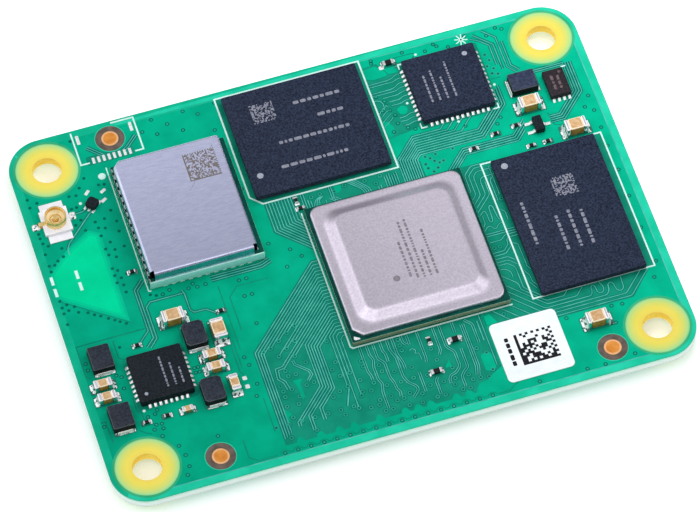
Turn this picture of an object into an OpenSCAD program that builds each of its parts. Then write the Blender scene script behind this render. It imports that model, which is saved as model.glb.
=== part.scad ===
// System on module: a small rounded circuit board with chips on top and two
// board-to-board connectors below. The origin is at the middle of the board, at the
// plane that the two connectors stand on. +X runs along the long side, +Z is up.

/* [Board] */
// Length of the board along X
board_l = 55; // [54:0.5:58]
// Width of the board along Y
board_w = 40; // [39.5:0.5:43]
// Thickness of the laminate
board_t = 1.0; // [0.8:0.1:1.6]
// Radius of the four board corners
corner_r = 3.4; // [2:0.1:3.5]
// Hole spacing along X
hole_dx = 48; // [47:0.5:49]
// Hole spacing along Y
hole_dy = 33; // [32:0.5:34]
// Diameter of the fixing holes
hole_d = 2.7; // [2.2:0.1:3.2]

/* [Processor] */
// Side of the square substrate
soc_w = 15; // [14:0.1:15.2]
// Thickness of the substrate
soc_sub_t = 0.55; // [0.3:0.05:0.8]
// Outer side of the lid
lid_w = 14.4; // [13:0.1:14.8]
// Side of the raised plateau
plateau_w = 10.3; // [9:0.1:11]
// Thickness of the lid sheet
lid_t = 0.45; // [0.35:0.05:0.6]
// Rise of the plateau above the flange
lid_rise = 0.65; // [0.5:0.05:0.9]
// Horizontal run of the sloping lid wall
lid_run = 1.05; // [0.7:0.05:1.3]
// Corner radius of the plateau
plateau_r = 0.8; // [0.5:0.1:1.2]

/* [Packages] */
// Length of the flash package along X
flash_l = 13; // [12:0.5:13]
// Width of the flash package along Y
flash_w = 11.5; // [10:0.5:11.5]
// Height of a memory package above its solder balls
mem_t = 0.6; // [0.5:0.05:0.9]
// Width of the working memory along X
ram_w = 10; // [9:0.5:10]
// Length of the working memory along Y
ram_l = 15; // [14:0.5:15]
// Height of the solder balls
ball_h = 0.25; // [0.2:0.01:0.35]
// Side of the network chip
phy_w = 7; // [6.8:0.1:7]
// Side of the power chip
pmic_w = 5; // [4.8:0.1:5]
// Height of the no-lead chips
qfn_t = 0.85; // [0.7:0.05:1.0]

/* [Radio module] */
// Width of the radio substrate along X
radio_w = 10.9; // [10.6:0.1:11.2]
// Length of the radio substrate along Y
radio_l = 13.2; // [13:0.1:13.4]
// Thickness of the radio substrate
radio_t = 1.0; // [0.6:0.1:1.2]
// Width of the shield can along X
can_w = 10.2; // [9.8:0.1:10.3]
// Length of the shield can along Y
can_l = 12.9; // [12.2:0.1:12.9]
// Height of the shield can
can_h = 1.2; // [1.0:0.05:1.5]
// Sheet thickness of the shield can
can_t = 0.15; // [0.1:0.05:0.2]

/* [Connectors] */
// Height of the connector housings below the board
conn_h = 1.0; // [0.9:0.05:1.4]
// Length of a connector housing
conn_l = 22.6; // [22:0.2:24]
// Width of a connector housing
conn_w = 2.4; // [2.2:0.1:2.6]
// Contacts in one row
conn_n = 50; // [40:2:50]
// Pitch of the contacts
conn_pitch = 0.4; // [0.35:0.05:0.4]
// Distance of a connector from the middle of the board
conn_y = 17.2; // [16.5:0.1:17.5]
// Outer diameter of the antenna connector's ring
ant_d = 2.0; // [1.8:0.1:2.2]
// Height of the antenna connector
ant_h = 1.25; // [1.1:0.05:1.5]

/* [Hidden] */
$fn = 48;
zb = conn_h;             // underside of the board
zt = conn_h + board_t;   // top of the board

soc_x = 4.6;    soc_y = -2.85;
flash_x = -0.1; flash_y = 12.92;
ram_x = 20;     ram_y = -3.1;
radio_x = -13.1; radio_y = 7.7;
can_x = -13.3;  can_y = 7.65;
phy_x = 14.05;  phy_y = 14;
pmic_x = -20.25; pmic_y = -8;
conn_x = -1.6;
ant_x = -24.75; ant_y = 10.75;

lid_z = zt + ball_h + soc_sub_t;          // top of the processor substrate
land_t = 0.1;                             // solder lands below the radio module
radio_z = zt + land_t + radio_t;          // top of the radio substrate
pad_t = 0.05;                             // solder below the no-lead chips

// Small parts as [x, y, turn], read off the photo
BULK = [[-17.5, -2.6, 0], [20.5, 9.5, 0], [23.75, 5.75, 0], [18.9, -14.5, 0],
        [-13.95, -5.2, 90]];
INPUT = [[-15.25, -7.35, 0], [-15.25, -8.7, 0], [-25.45, -7.4, 0],
         [-25.45, -8.8, 0], [-14.15, -10.9, 90]];
SMALL_C = [[-18.9, -12.05, 0]];
RES = [[9.5, 18.1, 0], [6.1, -12.4, 0], [3.5, -15.1, 0]];
TINY = [[14.15, 6.6, 0], [16.55, 7.55, 0], [18.65, 7.85, 0], [19.3, 5.3, 0],
        [20.9, 5.3, 0], [-3.15, 6.2, 90], [-3.0, 5.3, 0], [-13.1, -3.0, 0],
        [-20.8, -12.05, 0], [3.85, -11.8, 90], [-19.6, 3.45, 0],
        [-21.35, -4.2, 0], [-22.75, -12.15, 0]];
COILS = [[-24.9, -4.85, 90], [-24.85, -11.25, 90], [-16.15, -5.0, 90],
         [-16.25, -11.1, 90], [20.65, 11.9, 0]];
COIL_L = 2.5;  COIL_W = 2.0;  COIL_H = 1.0;
DECAP = [for (i = [-2:2], j = [-1:1]) [soc_x + 2.1 * i, soc_y + 2.2 * j, j == 0 ? 90 : 0]];
XTAL = [[-12, 4, 0], [14, 9, 90]];

// Outline of a rectangle with round corners, centred
module rounded(w, l, r) {
    square([w - 2 * r, l], center = true);
    square([w, l - 2 * r], center = true);
    for (sx = [-1, 1], sy = [-1, 1])
        translate([sx * (w / 2 - r), sy * (l / 2 - r)]) circle(r = r);
}

// Plate with round corners, standing on its lower face
module plate(w, l, t, r) {
    linear_extrude(height = t) rounded(w, l, r);
}

// Block centred in X and Y, standing on its lower face
module block(w, l, t) {
    translate([-w / 2, -l / 2, 0]) cube([w, l, t]);
}

// Puts each entry of a list of [x, y, turn] at height z
module each_at(list, z) {
    for (p = list) translate([p[0], p[1], z]) rotate([0, 0, p[2]]) children();
}

// Low pyramid stump with round corners: four flat slopes and four cone corners
module stump(w, h, run, r) {
    c = w / 2 - r;
    for (a = [0, 90]) rotate([90, 0, a]) linear_extrude(height = 2 * c, center = true)
        polygon([[-w / 2 - run, 0], [w / 2 + run, 0], [w / 2, h], [-w / 2, h]]);
    for (sx = [-1, 1], sy = [-1, 1])
        translate([sx * c, sy * c, 0]) cylinder(r1 = r + run, r2 = r, h = h);
}

// Solder columns on a grid; ring is how many outer rows are filled, core the middle
module ball_grid(nx, ny, px, py, r, ring, core) {
    for (i = [0:nx - 1], j = [0:ny - 1]) {
        edge = min(i, j, nx - 1 - i, ny - 1 - j);
        mid = max(abs(2 * i - nx + 1), abs(2 * j - ny + 1));
        if (edge < ring || mid < core)
            translate([(i - (nx - 1) / 2) * px, (j - (ny - 1) / 2) * py, 0])
                cylinder(r = r, h = ball_h, $fn = 16);
    }
}

// Terminals of a square no-lead package: solder below the edge and a fillet outside
module terminals(side, n, pitch, width, out, inner, h) {
    for (a = [0, 90, 180, 270], i = [0:n - 1]) rotate([0, 0, a])
        translate([side / 2, (i - (n - 1) / 2) * pitch, 0])
            rotate([90, 0, 0]) linear_extrude(height = width, center = true)
                polygon([[-inner, 0], [out, 0], [out, 0.04], [0.07, h], [0, h],
                         [0, pad_t], [-inner, pad_t]]);
}

// Ceramic body between the two metal ends of a chip part
module chip_body(l, w, h, e) {
    translate([0, 0, 0.03]) block(l - 2 * e, w - 0.04, h - 0.05);
}

// The two metal ends of a chip part
module chip_ends(l, w, h, e) {
    for (s = [-1, 1]) translate([s * (l - e) / 2, 0, 0])
        rotate([90, 0, 90]) translate([0, 0, -e / 2]) linear_extrude(height = e)
            translate([0, h / 2]) rounded(w, h, 0.12 * w);
}

// One board-to-board housing: a bar with a trough in its lower face
module housing() {
    difference() {
        translate([0, 0, 0]) plate(conn_l, conn_w, conn_h, 0.15);
        translate([0, 0, -0.5]) block(conn_l - 1.6, 0.95, 0.5 + 0.7);
    }
}

// The two rows of contacts of one housing
module contacts() {
    for (s = [0, 180]) rotate([0, 0, s]) for (i = [0:conn_n - 1])
        translate([(i - (conn_n - 1) / 2) * conn_pitch, -conn_w / 2, 0])
            rotate([90, 0, -90]) linear_extrude(height = 0.18, center = true)
                polygon([[0, 0.12], [0.09, 0.12], [0.09, conn_h - 0.12],
                         [0.5, conn_h - 0.12], [0.5, conn_h], [0, conn_h]]);
}

// The two end clips of one housing
module hold_downs() {
    for (s = [0, 180]) rotate([0, 0, s]) translate([conn_l / 2, 0, 0])
        rotate([90, 0, 0]) linear_extrude(height = 1.6, center = true)
            polygon([[0, 0.25], [0.1, 0.25], [0.1, conn_h - 0.12],
                     [0.55, conn_h - 0.12], [0.55, conn_h], [0, conn_h]]);
}

module circuit_board() {
    color([0.0, 0.5, 0.35]) translate([0, 0, zb]) linear_extrude(height = board_t)
        difference() {
            rounded(board_l, board_w, corner_r);
            for (sx = [-1, 1], sy = [-1, 1])
                translate([sx * hole_dx / 2, sy * hole_dy / 2]) circle(d = hole_d);
        }
}

module soc_substrate() {
    color([0.35, 0.42, 0.2]) translate([soc_x, soc_y, zt + ball_h])
        block(soc_w, soc_w, soc_sub_t);
}

module soc_lid() {
    color([0.75, 0.72, 0.75]) translate([soc_x, soc_y, lid_z]) difference() {
        union() {
            plate(lid_w, lid_w, lid_t, 0.9);
            translate([0, 0, lid_t]) stump(plateau_w, lid_rise, lid_run, plateau_r);
        }
        translate([0, 0, -0.5]) block(plateau_w - 0.6, plateau_w - 0.6, 0.5 + lid_rise);
    }
}

module soc_die() {
    color([0.25, 0.26, 0.3]) translate([soc_x, soc_y, lid_z])
        block(8, 7.6, lid_rise - 0.1);
}

module thermal_interface() {
    color([0.6, 0.6, 0.62]) translate([soc_x, soc_y, lid_z + lid_rise - 0.1])
        plate(7.8, 7.4, 0.1, 0.5);
}

module soc_solder_balls() {
    color([0.8, 0.8, 0.8]) translate([soc_x, soc_y, zt])
        ball_grid(20, 20, 0.72, 0.72, 0.2, 5, 6);
}

module flash_package() {
    color([0.13, 0.14, 0.18]) translate([flash_x, flash_y, zt + ball_h])
        block(flash_l, flash_w, mem_t);
}

module flash_solder_balls() {
    color([0.8, 0.8, 0.8]) translate([flash_x, flash_y, zt])
        ball_grid(14, 14, 0.5, 0.5, 0.15, 3, 0);
}

module memory_package() {
    color([0.13, 0.14, 0.18]) translate([ram_x, ram_y, zt + ball_h])
        block(ram_w, ram_l, mem_t);
}

module memory_solder_balls() {
    color([0.8, 0.8, 0.8]) translate([ram_x, ram_y, zt])
        for (s = [-1, 1]) translate([s * 2.8, 0, 0])
            ball_grid(4, 22, 0.8, 0.65, 0.18, 2, 0);
}

module radio_substrate() {
    color([0.35, 0.62, 0.5]) translate([radio_x, radio_y, zt + land_t])
        block(radio_w, radio_l, radio_t);
}

module radio_solder_lands() {
    color([0.8, 0.8, 0.8]) translate([radio_x, radio_y, zt]) {
        for (s = [-1, 1], i = [-7:7])
            translate([s * (radio_w / 2 - 0.3), i * 0.8, 0]) block(0.6, 0.4, land_t);
        for (s = [-1, 1], i = [-5:5])
            translate([i * 0.8, s * (radio_l / 2 - 0.3), 0]) block(0.4, 0.6, land_t);
    }
}

module radio_shield_can() {
    color([0.7, 0.7, 0.76]) translate([can_x, can_y, radio_z]) difference() {
        plate(can_w, can_l, can_h, 0.35);
        translate([0, 0, -0.5])
            plate(can_w - 2 * can_t, can_l - 2 * can_t, 0.5 + can_h - can_t, 0.2);
    }
}

module radio_chip() {
    color([0.13, 0.14, 0.18]) translate([-13.9, 6.2, radio_z]) block(5, 4.6, 0.6);
}

module radio_crystal() {
    color([0.7, 0.7, 0.72]) translate([-13.9, 11.2, radio_z]) plate(2.5, 2, 0.55, 0.2);
}

module radio_passives() {
    color([0.75, 0.6, 0.42]) each_at([for (i = [0:4]) [-10, 3 + 1.8 * i, 90],
        for (i = [0:2]) [-17.2, 4 + 2.4 * i, 90]], radio_z) block(1.0, 0.5, 0.5);
}

module network_chip_body() {
    color([0.13, 0.13, 0.16]) translate([phy_x, phy_y, zt + pad_t])
        block(phy_w, phy_w, qfn_t - pad_t);
}

module network_chip_terminals() {
    color([0.85, 0.85, 0.85]) translate([phy_x, phy_y, zt]) {
        terminals(phy_w, 12, 0.5, 0.26, 0.32, 0.4, 0.22);
        block(5.2, 5.2, pad_t);
    }
}

module power_chip_body() {
    color([0.13, 0.13, 0.16]) translate([pmic_x, pmic_y, zt + pad_t])
        block(pmic_w, pmic_w, qfn_t - pad_t);
}

module power_chip_terminals() {
    color([0.85, 0.85, 0.85]) translate([pmic_x, pmic_y, zt]) {
        terminals(pmic_w, 8, 0.5, 0.26, 0.32, 0.4, 0.22);
        block(3.4, 3.4, pad_t);
    }
}

module inductor_bodies() {
    color([0.17, 0.18, 0.22]) for (k = [0:len(COILS) - 1]) each_at([COILS[k]], zt + 0.08)
        plate(COIL_L, COIL_W, COIL_H - 0.08, k == 2 || k == 3 ? 0.28 : 0.12);
}

module inductor_terminals() {
    color([0.85, 0.85, 0.85]) each_at(COILS, zt) for (s = [0, 180]) rotate([0, 0, s])
        translate([COIL_L / 2, 0, 0]) rotate([90, 0, 0])
            linear_extrude(height = COIL_W - 0.6, center = true)
                polygon([[-0.55, 0], [0.16, 0], [0.16, 0.04], [0.05, 0.3], [0, 0.3],
                         [0, 0.08], [-0.55, 0.08]]);
}

module bulk_capacitor_bodies() {
    color([0.72, 0.55, 0.36]) each_at(BULK, zt) chip_body(2.0, 1.25, 1.2, 0.36);
}

module bulk_capacitor_ends() {
    color([0.85, 0.85, 0.85]) each_at(BULK, zt) chip_ends(2.0, 1.25, 1.2, 0.36);
}

module input_capacitor_bodies() {
    color([0.72, 0.55, 0.36]) each_at(INPUT, zt) chip_body(1.65, 0.85, 0.85, 0.4);
}

module input_capacitor_ends() {
    color([0.85, 0.85, 0.85]) each_at(INPUT, zt) chip_ends(1.65, 0.85, 0.85, 0.4);
}

module small_capacitor_body() {
    color([0.6, 0.45, 0.32]) each_at(SMALL_C, zt) chip_body(1.0, 0.55, 0.5, 0.25);
}

module small_capacitor_ends() {
    color([0.85, 0.85, 0.85]) each_at(SMALL_C, zt) chip_ends(1.0, 0.55, 0.5, 0.25);
}

module chip_resistor_bodies() {
    color([0.12, 0.12, 0.13]) each_at(RES, zt) chip_body(1.0, 0.5, 0.36, 0.22);
}

module chip_resistor_ends() {
    color([0.85, 0.85, 0.85]) each_at(RES, zt) chip_ends(1.0, 0.5, 0.36, 0.22);
}

module tiny_resistor_bodies() {
    color([0.12, 0.12, 0.13]) each_at(TINY, zt) chip_body(0.62, 0.32, 0.26, 0.13);
}

module tiny_resistor_ends() {
    color([0.85, 0.85, 0.85]) each_at(TINY, zt) chip_ends(0.62, 0.32, 0.26, 0.13);
}

module boot_memory_body() {
    color([0.13, 0.13, 0.16]) translate([23.65, 10.95, zt + pad_t])
        block(2.0, 2.9, 0.7 - pad_t);
}

module boot_memory_leads() {
    color([0.85, 0.85, 0.85]) translate([23.65, 10.95, zt])
        for (a = [90, 270], i = [-1.5:1.5]) rotate([0, 0, a])
            translate([1.45, i * 0.5, 0]) rotate([90, 0, 0])
                linear_extrude(height = 0.25, center = true)
                    polygon([[-0.4, 0], [0.34, 0], [0.34, 0.04], [0.07, 0.2], [0, 0.2],
                             [0, pad_t], [-0.4, pad_t]]);
}

module transistor_body() {
    color([0.13, 0.13, 0.15]) translate([20.6, 7.15, zt + 0.12])
        plate(0.85, 1.6, 0.6, 0.08);
}

module transistor_leads() {
    color([0.85, 0.85, 0.85]) translate([20.6, 7.15, zt]) {
        for (q = [[180, 0.5], [180, -0.5], [0, 0]])
            translate([0, q[1], 0]) rotate([0, 0, q[0]]) translate([0.425, 0, 0])
                rotate([90, 0, 0]) linear_extrude(height = 0.3, center = true)
                    polygon([[0, 0.3], [0.16, 0.3], [0.3, 0.12], [0.75, 0.12],
                             [0.75, 0], [0.2, 0], [0.08, 0.18], [0, 0.18]]);
    }
}

module radio_switch_body() {
    color([0.12, 0.12, 0.14]) translate([-21.05, 11.55, zt + pad_t]) rotate([0, 0, 45])
        plate(1.1, 1.1, 0.5, 0.3);
}

module radio_switch_lands() {
    color([0.85, 0.85, 0.85]) translate([-21.05, 11.55, zt]) rotate([0, 0, 45])
        for (s = [-1, 1], i = [-1:1])
            translate([s * 0.53, i * 0.42, 0]) block(0.46, 0.22, pad_t);
}

module antenna_connector_base() {
    color([0.92, 0.92, 0.9]) translate([ant_x, ant_y, zt]) difference() {
        block(2.6, 2.6, 0.35);
        translate([0, 0, -0.5]) cylinder(r = 0.25, h = 2);
        translate([-2, -0.25, -0.5]) cube([2, 0.5, 0.5 + 0.12]);
    }
}

module antenna_connector_shell() {
    color([0.85, 0.68, 0.35]) translate([ant_x, ant_y, zt]) difference() {
        union() {
            cylinder(d = ant_d, h = ant_h);
            translate([0, 0, 0.35]) block(1.9, 2.8, 0.1);
            for (s = [-1, 1]) {
                translate([0, s * 1.35, 0]) block(2.2, 0.1, 0.45);
                translate([0, s * 1.72, 0]) block(2.2, 0.84, 0.12);
            }
        }
        translate([0, 0, -0.5]) cylinder(d = ant_d - 0.3, h = 3);
        translate([0, 0, -0.5]) block(2.6, 2.6, 0.5 + 0.35);
    }
}

module antenna_connector_pin() {
    color([0.85, 0.68, 0.35]) translate([ant_x, ant_y, zt]) {
        cylinder(r = 0.25, h = 0.95);
        translate([-2.2, -0.25, 0]) cube([2.2, 0.5, 0.12]);
    }
}

module data_label() {
    color([0.95, 0.95, 0.95]) translate([12.5, -15.1, zt]) plate(6.3, 6.35, 0.08, 0.5);
}

module front_connector_housing() {
    color([0.16, 0.16, 0.17]) translate([conn_x, -conn_y, 0]) housing();
}

module front_connector_contacts() {
    color([0.85, 0.7, 0.4]) translate([conn_x, -conn_y, 0]) contacts();
}

module rear_connector_housing() {
    color([0.16, 0.16, 0.17]) translate([conn_x, conn_y, 0]) housing();
}

module rear_connector_contacts() {
    color([0.85, 0.7, 0.4]) translate([conn_x, conn_y, 0]) contacts();
}

module connector_hold_downs() {
    color([0.85, 0.85, 0.85]) for (s = [-1, 1]) translate([conn_x, s * conn_y, 0])
        hold_downs();
}

module decoupling_capacitor_bodies() {
    color([0.6, 0.45, 0.32]) each_at(DECAP, zb) mirror([0, 0, 1])
        chip_body(1.0, 0.5, 0.5, 0.24);
}

module decoupling_capacitor_ends() {
    color([0.85, 0.85, 0.85]) each_at(DECAP, zb) mirror([0, 0, 1])
        chip_ends(1.0, 0.5, 0.5, 0.24);
}

module crystal_cases() {
    color([0.3, 0.3, 0.3]) each_at(XTAL, zb - 0.35) plate(2.5, 2.0, 0.35, 0.15);
}

module crystal_lids() {
    color([0.8, 0.78, 0.7]) each_at(XTAL, zb - 0.55) plate(2.2, 1.7, 0.2, 0.25);
}

circuit_board();
soc_substrate();
soc_lid();
soc_die();
thermal_interface();
soc_solder_balls();
flash_package();
flash_solder_balls();
memory_package();
memory_solder_balls();
radio_substrate();
radio_solder_lands();
radio_shield_can();
radio_chip();
radio_crystal();
radio_passives();
network_chip_body();
network_chip_terminals();
power_chip_body();
power_chip_terminals();
inductor_bodies();
inductor_terminals();
bulk_capacitor_bodies();
bulk_capacitor_ends();
input_capacitor_bodies();
input_capacitor_ends();
small_capacitor_body();
small_capacitor_ends();
chip_resistor_bodies();
chip_resistor_ends();
tiny_resistor_bodies();
tiny_resistor_ends();
boot_memory_body();
boot_memory_leads();
transistor_body();
transistor_leads();
radio_switch_body();
radio_switch_lands();
antenna_connector_base();
antenna_connector_shell();
antenna_connector_pin();
data_label();
front_connector_housing();
front_connector_contacts();
rear_connector_housing();
rear_connector_contacts();
connector_hold_downs();
decoupling_capacitor_bodies();
decoupling_capacitor_ends();
crystal_cases();
crystal_lids();
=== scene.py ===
import math
import random

import bmesh
import bpy
import numpy as np
from mathutils import Matrix, Vector
from mathutils.geometry import delaunay_2d_cdt


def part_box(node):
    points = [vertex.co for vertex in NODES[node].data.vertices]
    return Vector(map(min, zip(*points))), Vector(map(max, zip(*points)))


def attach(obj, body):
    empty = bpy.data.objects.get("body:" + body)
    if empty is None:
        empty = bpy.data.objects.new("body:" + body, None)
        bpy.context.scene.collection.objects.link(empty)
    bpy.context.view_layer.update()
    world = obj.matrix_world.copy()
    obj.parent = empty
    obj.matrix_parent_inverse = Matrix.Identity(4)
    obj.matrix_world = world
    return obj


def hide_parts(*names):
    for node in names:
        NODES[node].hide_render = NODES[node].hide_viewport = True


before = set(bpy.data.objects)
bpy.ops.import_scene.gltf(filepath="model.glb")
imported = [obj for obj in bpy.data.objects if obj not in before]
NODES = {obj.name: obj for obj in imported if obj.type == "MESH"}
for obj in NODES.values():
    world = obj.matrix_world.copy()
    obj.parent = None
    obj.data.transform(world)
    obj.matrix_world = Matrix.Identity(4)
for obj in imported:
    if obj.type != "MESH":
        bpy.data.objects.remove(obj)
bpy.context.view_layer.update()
MM = 0.001
rng = random.Random(20)

# heights of the board's layers, in millimetres above the plane the module stands on
ZB, ZT = 1.0, 2.0                       # underside and top of the finished board
Z_CORE0, Z_CORE1 = ZB + 0.025, ZT - 0.025   # laminate with its base coat
Z_POUR, Z_TRACE, Z_SILK = ZT - 0.006, ZT - 0.003, ZT + 0.004


# ------------------------------------------------------------------ materials
def lin(r, g, b):
    """Screen colour 0-255 to linear."""
    return tuple((c / 255 / 12.92) if c / 255 <= 0.04045 else ((c / 255 + 0.055) / 1.055) ** 2.4 for c in (r, g, b))


def surface(name, c0, c1, scale=900, rough=(0.4, 0.5), rough_scale=None, bump=0.0, bump_scale=4000, dist=2e-6,
            metallic=0.0, spec=0.5, coat=0.0, coat_rough=0.1, stretch=(1, 1, 1), detail=4.0, sss=0.0, sss_r=0.0005,
            lo=0.35, hi=0.65, painted_light_gradient=None):
    """A finish whose colour, gloss and fine relief all vary over the surface."""
    m = bpy.data.materials.new(name)
    m.use_nodes = True
    nt = m.node_tree
    bsdf = next(n for n in nt.nodes if n.type == "BSDF_PRINCIPLED")
    tc = nt.nodes.new("ShaderNodeTexCoord")
    mp = nt.nodes.new("ShaderNodeMapping")
    mp.inputs["Scale"].default_value = stretch
    nt.links.new(tc.outputs["Object"], mp.inputs["Vector"])
    n1 = nt.nodes.new("ShaderNodeTexNoise")
    n1.inputs["Scale"].default_value = scale
    n1.inputs["Detail"].default_value = detail
    nt.links.new(mp.outputs["Vector"], n1.inputs["Vector"])
    ramp = nt.nodes.new("ShaderNodeValToRGB")
    ramp.color_ramp.elements[0].position = lo
    ramp.color_ramp.elements[0].color = (*c0, 1)
    ramp.color_ramp.elements[1].position = hi
    ramp.color_ramp.elements[1].color = (*c1, 1)
    nt.links.new(n1.outputs["Fac"], ramp.inputs["Fac"])
    colour = ramp.outputs["Color"]
    if painted_light_gradient:
        # painted light: a brightness that changes slowly along X and Y, per metre, standing in for uneven light
        sep = nt.nodes.new("ShaderNodeSeparateXYZ")
        nt.links.new(tc.outputs["Object"], sep.inputs["Vector"])
        mx = nt.nodes.new("ShaderNodeMath"); mx.operation = "MULTIPLY_ADD"
        mx.inputs[1].default_value, mx.inputs[2].default_value = painted_light_gradient[1], painted_light_gradient[0]
        nt.links.new(sep.outputs["X"], mx.inputs[0])
        my = nt.nodes.new("ShaderNodeMath"); my.operation = "MULTIPLY_ADD"
        my.inputs[1].default_value = painted_light_gradient[2]
        nt.links.new(sep.outputs["Y"], my.inputs[0]); nt.links.new(mx.outputs[0], my.inputs[2])
        sc = nt.nodes.new("ShaderNodeVectorMath"); sc.operation = "SCALE"
        nt.links.new(colour, sc.inputs[0]); nt.links.new(my.outputs[0], sc.inputs["Scale"])
        colour = sc.outputs["Vector"]
    nt.links.new(colour, bsdf.inputs["Base Color"])
    n2 = nt.nodes.new("ShaderNodeTexNoise")
    n2.inputs["Scale"].default_value = rough_scale or scale * 2.3
    n2.inputs["Detail"].default_value = 3.0
    nt.links.new(mp.outputs["Vector"], n2.inputs["Vector"])
    mr = nt.nodes.new("ShaderNodeMapRange")
    mr.inputs["From Min"].default_value = 0.3
    mr.inputs["From Max"].default_value = 0.7
    mr.inputs["To Min"].default_value = rough[0]
    mr.inputs["To Max"].default_value = rough[1]
    nt.links.new(n2.outputs["Fac"], mr.inputs["Value"])
    nt.links.new(mr.outputs["Result"], bsdf.inputs["Roughness"])
    if bump:
        n3 = nt.nodes.new("ShaderNodeTexNoise")
        n3.inputs["Scale"].default_value = bump_scale
        n3.inputs["Detail"].default_value = 5.0
        nt.links.new(mp.outputs["Vector"], n3.inputs["Vector"])
        bp = nt.nodes.new("ShaderNodeBump")
        bp.inputs["Strength"].default_value = bump
        bp.inputs["Distance"].default_value = dist
        nt.links.new(n3.outputs["Fac"], bp.inputs["Height"])
        nt.links.new(bp.outputs["Normal"], bsdf.inputs["Normal"])
    bsdf.inputs["Metallic"].default_value = metallic
    bsdf.inputs["Specular IOR Level"].default_value = spec
    bsdf.inputs["Coat Weight"].default_value = coat
    bsdf.inputs["Coat Roughness"].default_value = coat_rough
    if sss:
        bsdf.inputs["Subsurface Weight"].default_value = sss
        bsdf.inputs["Subsurface Radius"].default_value = (1.0, 1.0, 0.6)
        bsdf.inputs["Subsurface Scale"].default_value = sss_r
    m.diffuse_color = (*c1, 1)
    return m


# painted light: the mask over copper grows lighter towards the back right, standing in for light that falls off across
# the board
M_POUR = surface("mask_over_copper", lin(0, 157, 122), lin(1, 172, 134), 420, (0.3, 0.42), bump=0.25, bump_scale=2600, dist=3e-6, spec=0.03, painted_light_gradient=(0.985, 3.5, 1.5))
# mask over tracks, also used for a painted highlight line along the copper's outer edge
M_TRACE_AND_RIM_LINE = surface("mask_over_tracks_and_painted_rim_highlight", lin(54, 164, 148), lin(82, 184, 168), 900, (0.25, 0.35), bump=0.2, bump_scale=3000, spec=0.06)
# painted shade: dark edges along the tracks
M_TRACK_SHADE = surface("painted_shade_beside_tracks", lin(0, 86, 72), lin(4, 100, 84), 900, (0.28, 0.4), bump=0.2, bump_scale=2600, spec=0.04)
M_BASE = surface("mask_over_gaps", lin(10, 126, 102), lin(18, 140, 114), 700, (0.28, 0.4), bump=0.2, bump_scale=2600, spec=0.04)
M_VIA = surface("mask_over_via_lands", lin(30, 146, 124), lin(48, 162, 140), 900, (0.25, 0.35), bump=0.2, bump_scale=3000, spec=0.06)
M_BARE = surface("mask_over_laminate", lin(0, 198, 141), lin(0, 210, 150), 350, (0.25, 0.36), bump=0.15, bump_scale=1500, spec=0.03)
M_BAND = surface("mask_at_rim", lin(20, 184, 146), lin(36, 198, 162), 500, (0.28, 0.4), bump=0.15, bump_scale=1800, spec=0.06)
M_SHORE = surface("mask_at_far_rim", lin(6, 163, 127), lin(13, 176, 138), 500, (0.28, 0.4), bump=0.15, bump_scale=1800, spec=0.06)
M_MOAT = surface("mask_round_rings", lin(44, 160, 112), lin(58, 172, 126), 500, (0.28, 0.4), bump=0.15, bump_scale=1800, spec=0.06)
M_NICHE1 = surface("mask_niche_rim", lin(2, 171, 131), lin(3, 184, 140), 350, (0.28, 0.4), bump=0.15, bump_scale=1800, spec=0.03)
M_NICHE2 = surface("mask_niche_shore", lin(1, 186, 137), lin(2, 198, 145), 350, (0.25, 0.36), bump=0.15, bump_scale=1800, spec=0.03)
M_WALL = surface("hole_wall", lin(252, 214, 76), lin(255, 230, 108), 1200, (0.5, 0.65), bump=0.4, bump_scale=5000, dist=6e-6, spec=0.2, stretch=(1, 1, 4))
M_SILK = surface("white_print", lin(196, 232, 224), lin(214, 242, 236), 1800, (0.55, 0.7), bump=0.4, bump_scale=6000, dist=4e-6, spec=0.15)
M_SOLDER = surface("bright_solder", (0.86, 0.87, 0.88), (0.98, 0.985, 0.99), 2500, (0.22, 0.4), bump=0.5, bump_scale=3500, dist=1.2e-5, metallic=0.55, spec=0.6)
# painted reflections and highlights: the fillet's colour breaks into near-white and dark green patches, standing in for
# glints and the green board seen in bumpy solder
M_JOINT_GLINTS = surface("solder_fillet_painted_glints", (0.05, 0.11, 0.10), (0.97, 0.98, 0.98), 2800, (0.16, 0.3), bump=0.8, bump_scale=1900, dist=4e-5, metallic=0.3, spec=0.6, detail=2, lo=0.43, hi=0.49)
# white plating, also used as a painted highlight on the capacitors' eased end edges
M_TAB_AND_EDGE_GLINT = surface("plated_tab_and_painted_edge_glint", lin(236, 234, 240), lin(250, 249, 252), 900, (0.3, 0.42), bump=0.2, bump_scale=4000, dist=4e-6, metallic=0.15, spec=0.4)
M_TIN = surface("tin_plate", (0.74, 0.72, 0.77), (0.97, 0.95, 0.98), 2200, (0.14, 0.27), bump=0.4, bump_scale=5000, dist=5e-6, metallic=1.0, spec=0.5, lo=0.36, hi=0.6)
M_GOLD = surface("gold_plate", (0.82, 0.56, 0.18), (0.96, 0.74, 0.34), 1800, (0.2, 0.32), bump=0.25, bump_scale=5000, dist=4e-6, metallic=0.85)
M_COPPER = surface("bare_copper", lin(206, 126, 44), lin(226, 150, 66), 1500, (0.35, 0.5), bump=0.35, bump_scale=5000, dist=4e-6, metallic=0.3, spec=0.3)
M_COPPER_RIM = surface("bare_copper_rim", lin(226, 166, 112), lin(238, 184, 132), 1500, (0.35, 0.5), bump=0.35, bump_scale=5000, dist=4e-6, metallic=0.3, spec=0.3)
M_OPEN = surface("bare_laminate", lin(84, 78, 70), lin(110, 96, 88), 1600, (0.5, 0.65), bump=0.4, bump_scale=4500, dist=5e-6, spec=0.1)
M_MOULD = surface("mould_compound", (0.002, 0.004, 0.013), (0.026, 0.039, 0.078), 6200, (0.52, 0.66), bump=0.55, bump_scale=9000, dist=6e-6, spec=0.2, detail=3, lo=0.3, hi=0.72)
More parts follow.
